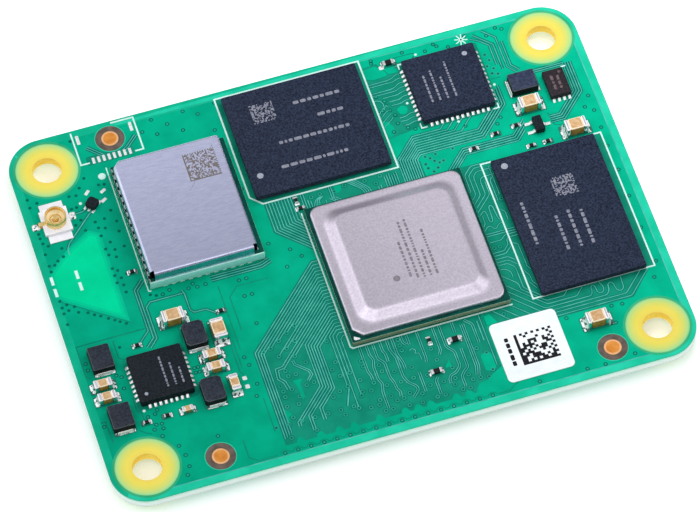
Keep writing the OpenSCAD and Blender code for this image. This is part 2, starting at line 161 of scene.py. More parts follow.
M_MOULD2 = surface("mould_compound_dark", (0.001, 0.003, 0.005), (0.010, 0.018, 0.026), 5200, (0.5, 0.62), bump=0.55, bump_scale=9000, dist=6e-6, spec=0.2, detail=3, lo=0.3, hi=0.72)
M_MOULD3 = surface("mould_compound_brown", (0.006, 0.004, 0.006), (0.034, 0.025, 0.034), 5200, (0.5, 0.62), bump=0.55, bump_scale=9000, dist=6e-6, spec=0.25, detail=3, lo=0.3, hi=0.72)
M_MARK = surface("laser_mark", lin(140, 146, 160), lin(164, 168, 180), 5000, (0.6, 0.75), bump=0.5, bump_scale=9000, dist=5e-6, spec=0.2)
M_MARK_DIM = surface("laser_mark_dim", lin(112, 116, 130), lin(138, 140, 152), 5000, (0.6, 0.75), bump=0.5, bump_scale=9000, dist=5e-6, spec=0.2)
M_MARK_BROWN = surface("laser_mark_brown", lin(78, 66, 68), lin(112, 98, 98), 5000, (0.6, 0.75), bump=0.5, bump_scale=9000, dist=5e-6, spec=0.2)
# painted light: the lid's nickel grows lighter towards the right and back; the flange takes a separate copy of the same
# nickel with its own tone and gradient, also painted light
M_LID = surface("satin_nickel", (0.72, 0.66, 0.77), (0.86, 0.79, 0.90), 5200, (0.34, 0.44), bump=0.6, bump_scale=7000, dist=6e-6, metallic=1.0, detail=3, painted_light_gradient=(0.92, 16, 8))
M_FLANGE_PAINTED_LIGHT = surface("satin_nickel_flange_painted_light", (0.76, 0.70, 0.815), (0.91, 0.84, 0.95), 5200, (0.34, 0.44), bump=0.6, bump_scale=7000, dist=6e-6, metallic=1.0, detail=3, painted_light_gradient=(0.90, 12.5, 14.0))
M_LIDMARK = surface("nickel_mark", (0.30, 0.27, 0.31), (0.42, 0.38, 0.43), 5000, (0.5, 0.6), bump=0.4, bump_scale=8000, dist=4e-6, metallic=1.0)
# painted light: the can's sheet grows lighter towards the back, a painted gradient of reflected light
M_CAN = surface("shield_sheet", (0.57, 0.60, 0.82), (0.66, 0.69, 0.91), 1500, (0.24, 0.32), bump=0.22, bump_scale=6000, dist=3e-6, metallic=1.0, stretch=(1, 5, 1), painted_light_gradient=(0.82, 0, 23.0))
M_CANMARK = surface("shield_mark", (0.16, 0.14, 0.14), (0.26, 0.23, 0.22), 5000, (0.5, 0.6), bump=0.4, bump_scale=8000, dist=4e-6, metallic=0.6)
M_COIL = surface("pressed_ferrite", (0.004, 0.008, 0.016), (0.028, 0.038, 0.058), 5200, (0.5, 0.65), bump=0.8, bump_scale=7000, dist=9e-6, spec=0.3, detail=3, lo=0.3, hi=0.72)
# painted highlight: the coils' eased top edges
M_COIL_EDGE_HIGHLIGHT = surface("pressed_ferrite_edge_painted_highlight", (0.026, 0.036, 0.045), (0.065, 0.08, 0.09), 3600, (0.4, 0.5), bump=0.5, bump_scale=7000, dist=6e-6, spec=0.4)
M_COIL_BLUE = surface("pressed_ferrite_blue", (0.008, 0.014, 0.034), (0.040, 0.055, 0.112), 5200, (0.5, 0.65), bump=0.8, bump_scale=7000, dist=9e-6, spec=0.3, detail=3, lo=0.3, hi=0.72)
# painted shade: the coils' darker sides
M_COIL_SHADED_SIDE = surface("pressed_ferrite_side_painted_shade", (0.003, 0.004, 0.006), (0.008, 0.009, 0.012), 3600, (0.5, 0.65), bump=0.7, bump_scale=7000, dist=8e-6, spec=0.2)
M_CERAMIC = surface("fired_ceramic", lin(184, 142, 96), lin(210, 176, 132), 2600, (0.42, 0.55), bump=0.4, bump_scale=6000, dist=5e-6, spec=0.3)
# painted highlight: the eased top edges of the ceramic bodies
M_CERAMIC_EDGE_HIGHLIGHT = surface("fired_ceramic_edge_painted_highlight", lin(240, 220, 182), lin(250, 236, 206), 2600, (0.35, 0.45), bump=0.3, bump_scale=6000, dist=4e-6, spec=0.4)
# painted shade: the ceramic's darker sides
M_CERAMIC_SHADED_SIDE = surface("fired_ceramic_side_painted_shade", lin(146, 114, 44), lin(178, 142, 64), 2600, (0.42, 0.55), bump=0.4, bump_scale=6000, dist=5e-6, spec=0.3)
M_RES = surface("glazed_top", (0.003, 0.003, 0.004), (0.008, 0.008, 0.010), 3000, (0.3, 0.42), bump=0.3, bump_scale=6000, dist=4e-6, spec=0.3)
M_SUB = surface("package_laminate", lin(118, 126, 98), lin(148, 158, 128), 2600, (0.5, 0.62), bump=0.5, bump_scale=5000, dist=5e-6, spec=0.2, stretch=(1, 1, 6))
# painted highlight: a light line along the substrate's eased top edges
M_SUB_EDGE_HIGHLIGHT = surface("package_laminate_edge_painted_highlight", lin(140, 182, 156), lin(172, 208, 180), 2600, (0.4, 0.5), bump=0.4, bump_scale=5000, dist=4e-6, spec=0.3)
# package mask, darkened as painted shade; also used for shaded left sides
M_SUBTOP_AND_SHADE = surface("package_mask_and_painted_shade", lin(0, 62, 54), lin(6, 80, 70), 1200, (0.3, 0.42), bump=0.25, bump_scale=4000, dist=3e-6, spec=0.06)
M_RADIO = surface("radio_laminate", lin(146, 232, 222), lin(174, 246, 238), 2000, (0.35, 0.5), bump=0.3, bump_scale=4000, dist=4e-6, spec=0.2, stretch=(1, 1, 5))
# painted highlight: a light line on the radio substrate's eased top edges and along its front under the can
M_RIM_HIGHLIGHT = surface("laminate_rim_painted_highlight", lin(168, 236, 214), lin(200, 246, 230), 2000, (0.3, 0.4), bump=0.3, bump_scale=4000, dist=4e-6, spec=0.3)
M_PAPER = surface("label_paper", lin(228, 236, 239), lin(236, 243, 245), 1200, (0.62, 0.75), bump=0.35, bump_scale=5200, dist=4e-6, spec=0.1)
M_INK = surface("label_ink", (0.006, 0.006, 0.009), (0.014, 0.014, 0.018), 4000, (0.55, 0.7), bump=0.3, bump_scale=6000, dist=3e-6, spec=0.15)
M_WHITE = surface("white_moulding", lin(238, 236, 240), lin(250, 248, 252), 1500, (0.42, 0.55), bump=0.3, bump_scale=5000, dist=4e-6, spec=0.3)
M_BOWL = surface("gilded_bowl", lin(244, 222, 160), lin(252, 238, 198), 1500, (0.32, 0.45), bump=0.3, bump_scale=5000, dist=4e-6, spec=0.4)
M_HOUSING = surface("connector_moulding", (0.018, 0.018, 0.02), (0.032, 0.032, 0.035), 3000, (0.42, 0.55), bump=0.45, bump_scale=6000, dist=5e-6, spec=0.4)
M_CRYSTAL = surface("crystal_ceramic", (0.09, 0.088, 0.085), (0.14, 0.136, 0.13), 2500, (0.5, 0.65), bump=0.4, bump_scale=6000, dist=5e-6, spec=0.3)
M_SILICON = surface("silicon", (0.10, 0.11, 0.14), (0.16, 0.17, 0.20), 1500, (0.15, 0.25), bump=0.1, bump_scale=4000, metallic=0.5)
M_PAD = surface("thermal_filler", (0.42, 0.42, 0.44), (0.56, 0.56, 0.58), 2200, (0.7, 0.85), bump=0.6, bump_scale=5000, dist=8e-6)
M_DARK = surface("via_dimple", lin(0, 94, 76), lin(3, 108, 88), 1500, (0.3, 0.45), bump=0.2, bump_scale=4000, spec=0.04)
# painted shade: near black for the shade inside narrow openings
M_SHADE_IN_OPENINGS = surface("painted_shade_in_openings", (0.003, 0.004, 0.005), (0.008, 0.009, 0.010), 2500, (0.6, 0.8), bump=0.3, bump_scale=5000, dist=4e-6, spec=0.1)


def ring_finish():
    """Bare laminate round a fixing hole: warm yellow, turning to lime at its rim."""
    m = surface("bare_ring", lin(218, 198, 62), lin(228, 212, 100), 500, (0.5, 0.62), bump=0.25, bump_scale=3000, dist=4e-6, spec=0.25)
    nt = m.node_tree
    bsdf = next(n for n in nt.nodes if n.type == "BSDF_PRINCIPLED")
    noise_ramp = next(n for n in nt.nodes if n.type == "VALTORGB")
    tc = next(n for n in nt.nodes if n.type == "TEX_COORD")
    sep = nt.nodes.new("ShaderNodeSeparateXYZ")
    nt.links.new(tc.outputs["Object"], sep.inputs["Vector"])
    squares = []
    for axis, centre in (("X", 24 * MM), ("Y", 16.5 * MM)):
        a = nt.nodes.new("ShaderNodeMath"); a.operation = "ABSOLUTE"
        nt.links.new(sep.outputs[axis], a.inputs[0])
        s = nt.nodes.new("ShaderNodeMath"); s.operation = "SUBTRACT"; s.inputs[1].default_value = centre
        nt.links.new(a.outputs[0], s.inputs[0])
        q = nt.nodes.new("ShaderNodeMath"); q.operation = "POWER"; q.inputs[1].default_value = 2.0
        q2 = nt.nodes.new("ShaderNodeMath"); q2.operation = "ABSOLUTE"
        nt.links.new(s.outputs[0], q2.inputs[0]); nt.links.new(q2.outputs[0], q.inputs[0])
        squares.append(q)
    add = nt.nodes.new("ShaderNodeMath"); add.operation = "ADD"
    nt.links.new(squares[0].outputs[0], add.inputs[0]); nt.links.new(squares[1].outputs[0], add.inputs[1])
    root = nt.nodes.new("ShaderNodeMath"); root.operation = "SQRT"
    nt.links.new(add.outputs[0], root.inputs[0])
    mr = nt.nodes.new("ShaderNodeMapRange")
    mr.inputs["From Min"].default_value = 1.3 * MM
    mr.inputs["From Max"].default_value = 2.9 * MM
    nt.links.new(root.outputs[0], mr.inputs["Value"])
    ramp = nt.nodes.new("ShaderNodeValToRGB")
    e = ramp.color_ramp.elements
    e[0].position, e[0].color = 0.0, (*lin(228, 200, 84), 1)
    e[1].position, e[1].color = 1.0, (*lin(72, 190, 136), 1)
    for pos, col in ((0.1, lin(229, 208, 90)), (0.31, lin(230, 214, 86)), (0.44, lin(222, 213, 94)), (0.56, lin(210, 213, 100)), (0.69, lin(197, 213, 112)), (0.81, lin(172, 211, 130)), (0.875, lin(154, 215, 142)), (0.94, lin(127, 211, 148))):
        x = e.new(pos); x.color = (*col, 1)
    nt.links.new(mr.outputs["Result"], ramp.inputs["Fac"])
    mix = nt.nodes.new("ShaderNodeMix"); mix.data_type = "RGBA"; mix.blend_type = "MIX"
    mix.inputs["Factor"].default_value = 0.2
    nt.links.new(ramp.outputs["Color"], mix.inputs[6]); nt.links.new(noise_ramp.outputs["Color"], mix.inputs[7])
    # painted light: the ring's colour is scaled along X, a little lighter on the left, standing in for uneven light
    painted_light_slope = nt.nodes.new("ShaderNodeMath"); painted_light_slope.operation = "MULTIPLY_ADD"
    painted_light_slope.inputs[1].default_value, painted_light_slope.inputs[2].default_value = -2.4, 1.0
    nt.links.new(sep.outputs["X"], painted_light_slope.inputs[0])
    tone = nt.nodes.new("ShaderNodeVectorMath"); tone.operation = "SCALE"
    nt.links.new(mix.outputs[2], tone.inputs[0]); nt.links.new(painted_light_slope.outputs[0], tone.inputs["Scale"])
    nt.links.new(tone.outputs["Vector"], bsdf.inputs["Base Color"])
    return m


M_RING = ring_finish()


def edge_finish():
    """Sawn edge of the board: white glass, with the green coat at its top and a shaded foot."""
    m = surface("laminate_edge", lin(206, 222, 214), lin(226, 238, 232), 1500, (0.6, 0.75), bump=0.6, bump_scale=5000, dist=8e-6, spec=0.2, stretch=(1, 1, 8))
    nt = m.node_tree
    bsdf = next(n for n in nt.nodes if n.type == "BSDF_PRINCIPLED")
    noise_ramp = next(n for n in nt.nodes if n.type == "VALTORGB")
    tc = next(n for n in nt.nodes if n.type == "TEX_COORD")
    sep = nt.nodes.new("ShaderNodeSeparateXYZ")
    nt.links.new(tc.outputs["Object"], sep.inputs["Vector"])
    mr = nt.nodes.new("ShaderNodeMapRange")
    mr.inputs["From Min"].default_value = ZB * MM
    mr.inputs["From Max"].default_value = ZT * MM
    nt.links.new(sep.outputs["Z"], mr.inputs["Value"])
    ramp = nt.nodes.new("ShaderNodeValToRGB")
    e = ramp.color_ramp.elements
    e[0].position, e[0].color = 0.0, (*lin(150, 162, 158), 1)
    e[1].position, e[1].color = 1.0, (*lin(96, 206, 166), 1)
    for pos, col in ((0.1, lin(222, 236, 230)), (0.6, lin(230, 246, 240)), (0.88, lin(156, 230, 198))):
        x = e.new(pos); x.color = (*col, 1)
    nt.links.new(mr.outputs["Result"], ramp.inputs["Fac"])
    mix = nt.nodes.new("ShaderNodeMix"); mix.data_type = "RGBA"; mix.blend_type = "MIX"
    mix.inputs["Factor"].default_value = 0.2
    nt.links.new(ramp.outputs["Color"], mix.inputs[6]); nt.links.new(noise_ramp.outputs["Color"], mix.inputs[7])
    nt.links.new(mix.outputs[2], bsdf.inputs["Base Color"])
    return m


M_EDGE = edge_finish()


# ------------------------------------------------------------------ mesh tools (all in millimetres)
class Piece:
    def __init__(self):
        self.v, self.f, self.m = [], [], []

    def add(self, verts, faces, mat=0):
        o = len(self.v)
        self.v += [tuple(float(c) for c in p) for p in verts]
        for i, f in enumerate(faces):
            self.f.append(tuple(int(k) + o for k in f))
            self.m.append(mat[i] if isinstance(mat, (list, tuple)) else mat)

    def loft(self, rings, mat=0, cap0=True, cap1=True, closed=False):
        """Rings with the same number of points, joined in order. closed joins the last to the first."""
        n, verts, faces = len(rings[0]), [], []
        for r in rings:
            verts += list(r)
        last = len(rings) if closed else len(rings) - 1
        for i in range(last):
            a, b = i * n, ((i + 1) % len(rings)) * n
            for j in range(n):
                k = (j + 1) % n
                faces.append((a + j, a + k, b + k, b + j))
        if not closed:
            if cap0:
                faces.append(tuple(range(n))[::-1])
            if cap1:
                faces.append(tuple((len(rings) - 1) * n + j for j in range(n)))
        self.add(verts, faces, mat)

    def rplate(self, cx, cy, w, h, r, z0, z1, b=0.0, turn=0.0, mat=0, n=4):
        """A plate with round corners and an eased top edge."""
        rings = [ring3(rrect(cx, cy, w, h, r, n, turn), z0)]
        if b > 0:
            rings += [ring3(rrect(cx, cy, w, h, r, n, turn), z1 - b),
                      ring3(rrect(cx, cy, w - 0.6 * b, h - 0.6 * b, max(r - 0.3 * b, 0.001), n, turn), z1 - 0.3 * b),
                      ring3(rrect(cx, cy, w - 2 * b, h - 2 * b, max(r - b, 0.001), n, turn), z1)]
        else:
            rings += [ring3(rrect(cx, cy, w, h, r, n, turn), z1)]
        self.loft(rings, mat)

    def lathe(self, cx, cy, profile, n=24, mat=0, mats=None):
        """A closed profile of (radius, height) turned about a vertical axis."""
        verts, faces, fm = [], [], []
        a = [(math.cos(2 * math.pi * j / n), math.sin(2 * math.pi * j / n)) for j in range(n)]
        idx = []
        for r, z in profile:
            if r < 1e-6:
                idx.append([len(verts)]); verts.append((cx, cy, z))
            else:
                idx.append(list(range(len(verts), len(verts) + n)))
                verts += [(cx + r * c, cy + r * s, z) for c, s in a]
        for i in range(len(profile) - 1):
            p, q = idx[i], idx[i + 1]
            mm = mats[i] if mats else mat
            for j in range(n):
                k = (j + 1) % n
                if len(p) == 1 and len(q) == 1:
                    continue
                if len(p) == 1:
                    faces.append((p[0], q[k], q[j]))
                elif len(q) == 1:
                    faces.append((p[j], p[k], q[0]))
                else:
                    faces.append((p[j], p[k], q[k], q[j]))
                fm.append(mm)
        self.add(verts, faces, fm)

    def strip(self, pts, w, z0, z1, mat=0, slope=0.014):
        """A track: a low ridge with sloping sides along a path."""
        a, b = offs(pts, w / 2 + slope), offs(pts, -w / 2 - slope)
        c, d = offs(pts, w / 2 - slope), offs(pts, -w / 2 + slope)
        n, verts, faces = len(a), [], []
        for i in range(n):
            verts += [(*a[i], z0), (*c[i], z1), (*d[i], z1), (*b[i], z0)]
        for i in range(n - 1):
            o, q = 4 * i, 4 * i + 4
            faces += [(o, o + 1, q + 1, q), (o + 1, o + 2, q + 2, q + 1), (o + 2, o + 3, q + 3, q + 2), (o + 3, o, q, q + 3)]
        faces += [(0, 3, 2, 1), (4 * n - 4, 4 * n - 3, 4 * n - 2, 4 * n - 1)]
        self.add(verts, faces, mat)

    def plate(self, loops, keep, z0, z1, mat=0, ease=0.0):
        """A flat plate of any outline, with holes: keep tells which points of the plan belong to it."""
        verts, edges = [], []
        for lp in loops:
            o, n = len(verts), len(lp)
            verts += [Vector((float(x), float(y))) for x, y in lp]
            edges += [(o + i, o + (i + 1) % n) for i in range(n)]
        res = delaunay_2d_cdt(verts, edges, [], 0, 1e-5)
        P = np.array([(p.x, p.y) for p in res[0]])
        T = [t for t in res[2] if len(t) == 3]
        C = np.array([P[list(t)].mean(0) for t in T])
        ok = keep(C)
        T = [t for t, k in zip(T, ok) if k]
        used = sorted({i for t in T for i in t})
        new = {i: j for j, i in enumerate(used)}
        n = len(used)
        top = [(P[i][0], P[i][1], z1) for i in used]
        low = [(P[i][0], P[i][1], z0) for i in used]
        faces, count = [], {}
        for t in T:
            a, b, c = (new[i] for i in t)
            if (P[t[1]][0] - P[t[0]][0]) * (P[t[2]][1] - P[t[0]][1]) - (P[t[1]][1] - P[t[0]][1]) * (P[t[2]][0] - P[t[0]][0]) < 0:
                b, c = c, b
            faces += [(a, b, c), (n + a, n + c, n + b)]
            for e in ((a, b), (b, c), (c, a)):
                count[e] = count.get(e, 0) + 1
        for (a, b) in list(count):
            if (b, a) not in count:
                faces.append((b, a, n + a, n + b))
        self.add(top + low, faces, mat)

    def build(self, name, mats, replaces=(), smooth=30, weld=0.0):
        me = bpy.data.meshes.new(name)
        me.from_pydata([(x * MM, y * MM, z * MM) for x, y, z in self.v], [], self.f)
        for m in mats:
            me.materials.append(m)
        me.polygons.foreach_set("material_index", self.m)
        bm = bmesh.new()
        bm.from_mesh(me)
        if weld:
            bmesh.ops.remove_doubles(bm, verts=bm.verts, dist=weld * MM)
        bmesh.ops.recalc_face_normals(bm, faces=bm.faces)
        bm.to_mesh(me)
        bm.free()
        return place(me, name, replaces, smooth)


def place(me, name, replaces=(), smooth=30):
    me.update()
    if smooth:
        me.shade_smooth()
        me.set_sharp_from_angle(angle=math.radians(smooth))
    ob = bpy.data.objects.new(name, me)
    bpy.context.scene.collection.objects.link(ob)
    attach(ob, "root")
    if replaces:
        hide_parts(*replaces)
    return ob


def rrect(cx, cy, w, h, r, n=4, turn=0.0):
    """Outline of a rectangle with round corners, anticlockwise."""
    r = max(min(r, w / 2 - 1e-4, h / 2 - 1e-4), 1e-4)
    pts = []
    for k, (sx, sy) in enumerate(((1, 1), (-1, 1), (-1, -1), (1, -1))):
        for i in range(n + 1):
            a = math.radians(90 * k + 90 * i / n)
            pts.append((sx * (w / 2 - r) + r * math.cos(a), sy * (h / 2 - r) + r * math.sin(a)))
    c, s = math.cos(math.radians(turn)), math.sin(math.radians(turn))
    return [(cx + x * c - y * s, cy + x * s + y * c) for x, y in pts]


def ring3(pts, z):
    return [(x, y, z) for x, y in pts]


def circle(cx, cy, r, n=48):
    return [(cx + r * math.cos(2 * math.pi * i / n), cy + r * math.sin(2 * math.pi * i / n)) for i in range(n)]


def offs(pts, d):
    """A path moved sideways, to its left for d > 0."""
    P = np.asarray(pts, float)
    D = P[1:] - P[:-1]
    D = D / np.maximum(np.linalg.norm(D, axis=1), 1e-9)[:, None]
    N = np.stack([-D[:, 1], D[:, 0]], 1)
    out = np.empty_like(P)
    out[0], out[-1] = P[0] + d * N[0], P[-1] + d * N[-1]
    for i in range(1, len(P) - 1):
        out[i] = P[i] + d * (N[i - 1] + N[i]) / max(1 + float(N[i - 1] @ N[i]), 0.35)
    return out


def soften(pts, r, n=3):
    """A path with its corners rounded."""
    P = [np.asarray(p, float) for p in pts]
    out = [P[0]]
    for i in range(1, len(P) - 1):
        a, b = P[i - 1] - P[i], P[i + 1] - P[i]
        la, lb = np.linalg.norm(a), np.linalg.norm(b)
        k = min(r, la * 0.45, lb * 0.45)
        p0, p1 = P[i] + a / la * k, P[i] + b / lb * k
        for j in range(n + 1):
            t = j / n
            out.append((1 - t) ** 2 * p0 + 2 * t * (1 - t) * P[i] + t * t * p1)
    out.append(P[-1])
    return [tuple(p) for p in out]


def outline(pts, w):
    """The closed outline of a path of width w."""
    return [tuple(p) for p in offs(pts, w / 2)] + [tuple(p) for p in offs(pts, -w / 2)[::-1]]


def inside(poly, C):
    x, y = C[:, 0], C[:, 1]
    hit = np.zeros(len(C), bool)
    n = len(poly)
    for i in range(n):
        (x1, y1), (x2, y2) = poly[i], poly[(i + 1) % n]
        if y1 == y2:
            continue
        hit ^= ((y1 > y) != (y2 > y)) & (x < (x2 - x1) * (y - y1) / (y2 - y1) + x1)
    return hit


def bundle(pts, n, pitch):
    return [[tuple(p) for p in offs(pts, (k - (n - 1) / 2) * pitch)] for k in range(n)]


def fine(node, mats, width, seg=2, angle=35, name=None, pick=None):
    """The CAD node's own shape with its edges eased."""
    bm = bmesh.new()
    bm.from_mesh(NODES[node].data)
    bmesh.ops.remove_doubles(bm, verts=bm.verts, dist=3e-7)
    bmesh.ops.dissolve_limit(bm, angle_limit=math.radians(1.0), verts=bm.verts, edges=bm.edges)
    edges = [e for e in bm.edges if len(e.link_faces) == 2 and e.calc_face_angle() > math.radians(angle)]
    bmesh.ops.bevel(bm, geom=edges, offset=width * MM, offset_type="OFFSET", segments=seg, profile=0.5, affect="EDGES", clamp_overlap=True)
    bmesh.ops.recalc_face_normals(bm, faces=bm.faces)
    bm.normal_update()
    me = bpy.data.meshes.new((name or node) + "_fine")
    if pick:
        for f in bm.faces:
            f.material_index = pick(f)
    else:
        for f in bm.faces:
            f.material_index = 0
    bm.to_mesh(me)
    bm.free()
    for m in mats:
        me.materials.append(m)
    return place(me, (name or node) + "_fine", (node,))


def finish_node(node, mat):
    """A CAD node that stays as it is, with a better finish."""
    for s in NODES[node].material_slots:
        s.material = mat


# ------------------------------------------------------------------ board: plan of the copper
HOLES = [(sx * 24.0, sy * 16.5) for sx in (-1, 1) for sy in (-1, 1)]
FIDUCIALS = [(-17.5, 18.1), (-17.45, -17.45), (19.4, -17.45)]
BOARD = rrect(0, 0, 55, 40, 3.4, 14)
POUR_EDGE = rrect(0, 0, 53.4, 38.3, 2.6, 10)
NICHE = [(-22.2, 8.75), (-21.45, 8.3), (-21.45, -1.0), (-26.75, 2.85), (-26.75, 5.4), (-24.65, 7.25)]


def grow(pts, d):
    """A closed clockwise outline moved outwards, or inwards for d < 0."""
    return [tuple(p) for p in offs(list(pts) + [pts[0], pts[1]], d)[1:len(pts) + 1]]


NICHE_OUT, NICHE_IN = grow(NICHE, 0.25), grow(NICHE, -0.25)

tracks, cuts, islands, ring_vias, dot_vias = [], [], [], [], []


def tr(pts, w=0.11):
    tracks.append((pts, w))


def bu(pts, n, pitch, w=0.11):
    for p in bundle(pts, n, pitch):
        tr(p, w)


def pt(pts, n=1, pitch=0.24, w=0.11, clear=0.11):
    """Tracks that run through a copper area, with a gap on both sides."""
    bu(pts, n, pitch, w)
    cuts.append(outline(pts, (n - 1) * pitch + w + 2 * clear))


def gap(pts, w=0.12):
    cuts.append(outline(pts, w))


# zones where tracks run over the inner plane
bumps = (-10.2, -8.3, -6.6, -5.2, -2.8, -0.4, 0.8, 2.0, 4.4, 5.6)
shore = [(x, -18.22 + 0.5 * max(max(0.0, 1 - ((x - b) / 0.42) ** 2) for b in bumps)) for x in np.arange(-11.62, 6.3, 0.1)]
cuts.append([(-3.0, -0.33), (-3.82, -0.33), (-11.62, -8.13), *shore, (6.4, -17.9), (6.8, -17.35), (7.6, -17.25), (8.3, -16.75), (9.25, -16.3),
             (9.25, -10.4), (-3.0, -10.4)])
cuts.append([(-6.1, 6.9), (-6.1, 3.5), (-2.9, 0.4), (-2.9, 6.9)])
cuts.append([(-3.2, 6.85), (-3.2, 4.6), (9.05, 4.6), (9.05, 6.85)])
cuts.append([(-2.8, 4.7), (12.3, 4.7), (12.3, -10.5), (-2.8, -10.5)])
cuts.append([(12.2, 5.05), (15.1, 5.05), (15.1, -10.3), (25.45, -10.3), (22.95, -13.03), (15.4, -13.03), (15.4, -11.9), (9.3, -11.9), (9.3, -10.4), (12.2, -10.4)])

# the areas inside the outlines of the flash, memory, network and power chips have no copper; their darker mask is
# partly painted shade along the packages' edges
cuts.append([(-7.05, 7.9), (-6.1, 6.9), (6.85, 6.9), (6.85, 19.2), (-7.05, 19.2)])
cuts.append([(14.25, 4.75), (25.8, 4.75), (25.8, -10.37), (14.25, -10.37)])
cuts.append(rrect(14.05, 14, 7.9, 7.9, 0.3, 3))
cuts.append(rrect(-20.25, -8, 5.7, 5.7, 0.3, 3))
cuts.append([(6.8, 18.25), (8.4, 18.45), (9.2, 17.0), (10.4, 16.9), (10.4, 10.6), (9.0, 10.3), (6.95, 10.05)])

# tracks that leave the processor on its left and run to the front
for i in range(24):
    ys, xd = -0.5 - 0.362 * i, -3.75
    if i < 4:
        lane = -11.45 + 0.24 * i
        tr([(-2.9, ys), (xd, ys), (lane, ys - (xd - lane)), (lane, -17.55 + 0.12 * i)])
    elif i < 14:
        xe = -7.1 - ((i * 5) % 7) * 0.46 if i not in (11, 12) else (-9.27, -9.02)[i - 11]
        ye = ys - (xd - xe)
        tr([(-2.9, ys), (xd, ys), (xe, ye)])
        if i not in (11, 12):
            ring_vias.append((xe - 0.12, ye - 0.12))
    elif i < 20:
        k = i - 14
        lane = -6.9 + 0.24 * k
        p = k // 2
        d, yt, ye = (3.0, 2.35, 1.65)[p], -13.25 - 0.24 * p - 0.1 * (k % 2), (-16.7, -17.45, -16.7)[p]
        tr([(-2.9, ys), (xd, ys), (lane, ys - (xd - lane)), (lane, yt), (lane - d, yt - d), (lane - d, ye)])
    else:
        k = i - 20
        lane = -4.55 + 0.3 * k
        ye, xs = (-13.9, -16.35, -12.6, -15.2)[k], max(xd, lane + 0.3)
        tr([(-2.9, ys), (xs, ys), (lane, ys - (xs - lane)), (lane, ye)])
        ring_vias.append((lane, ye - 0.15))
bu([(-9.13, -10.06), (-9.45, -10.38), (-10.1, -10.45), (-10.2, -11.4), (-9.8, -11.9), (-9.65, -12.7)], 2, 0.25)
bu([(-8.45, -10.0), (-8.4, -10.4), (-7.35, -11.4), (-7.25, -11.85), (-7.75, -12.4)], 2, 0.19)
tr([(-4.5, -14.3), (-5.15, -16.0)], 0.15)
islands.append([(-9.1, -12.0), (-8.2, -12.0), (-8.52, -12.5), (-8.48, -13.9), (-8.75, -14.15), (-8.86, -12.55)])
islands.append([(-10.65, -14.6), (-10.05, -15.35), (-10.5, -15.5), (-10.6, -16.05), (-10.72, -16.0)])
islands.append(rrect(8.28, -15.45, 1.0, 1.9, 0.3, 3))
islands.append([(9.2, -10.85), (9.9, -10.75), (10.35, -11.8), (9.2, -11.85)])
islands.append([(4.45, -14.75), (4.95, -14.2), (5.0, -14.9), (4.45, -14.95)])

# tracks from the processor's front edge, mostly in pairs
for path, n in (
    ([(-2.35, -10.5), (-2.35, -13.2), (-2.2, -13.6), (-2.2, -14.1)], 2),
    ([(-1.7, -10.5), (-1.7, -11.6), (-1.5, -12.1), (-1.72, -12.8), (-1.72, -14.2), (-1.5, -14.7), (-1.72, -15.6), (-1.72, -17.35)], 2),
    ([(-1.1, -10.5), (-1.1, -12.15), (-0.65, -12.7), (-0.65, -14.3), (-0.45, -14.9), (-0.4, -15.7), (-0.2, -16.0), (-0.3, -16.5)], 2),
    ([(-0.45, -10.5), (-0.45, -11.5), (-0.3, -11.8), (-0.3, -12.7)], 2),
    ([(0.2, -10.5), (0.2, -11.6), (0.5, -12.5), (0.5, -14.6), (0.75, -15.3), (1.35, -15.9), (1.4, -16.3), (0.75, -16.95)], 2),
    ([(0.7, -10.5), (0.7, -12.2), (0.95, -13.2), (0.95, -13.9)], 2),
    ([(1.55, -10.5), (1.55, -11.2), (1.8, -11.5)], 2), ([(2.05, -10.5), (2.05, -11.6)], 2),
    ([(1.85, -12.2), (2.1, -12.02), (2.45, -12.3), (2.2, -12.65), (2.6, -12.62), (2.65, -13.4)], 1),
    ([(2.0, -14.6), (2.0, -16.7)], 2), ([(3.05, -10.5), (3.05, -13.3), (2.95, -13.8)], 2),
    ([(3.45, -15.6), (3.2, -15.9), (3.2, -17.4)], 2), ([(4.55, -10.5), (4.55, -13.0), (4.3, -13.4)], 2),
    ([(5.15, -10.5), (5.15, -12.8), (5.7, -13.5), (5.7, -15.1), (5.15, -15.65), (4.65, -15.75), (4.4, -16.1), (4.4, -16.6)], 2),
    ([(6.35, -10.5), (6.35, -11.6)], 2), ([(6.35, -13.4), (6.35, -15.4), (5.95, -15.7), (5.55, -16.15), (5.55, -17.3)], 2),
    ([(7.2, -11.0), (7.2, -15.6), (6.95, -16.5)], 3), ([(7.5, -10.6), (8.1, -11.25), (8.1, -13.3)], 2),
):
    bu(soften(path, 0.18) if len(path) > 2 else path, n, 0.19, 0.095)
tr([(8.6, -11.1), (8.6, -13.2)], 0.14)
tr([(8.92, -10.5), (8.92, -16.0)], 0.1)

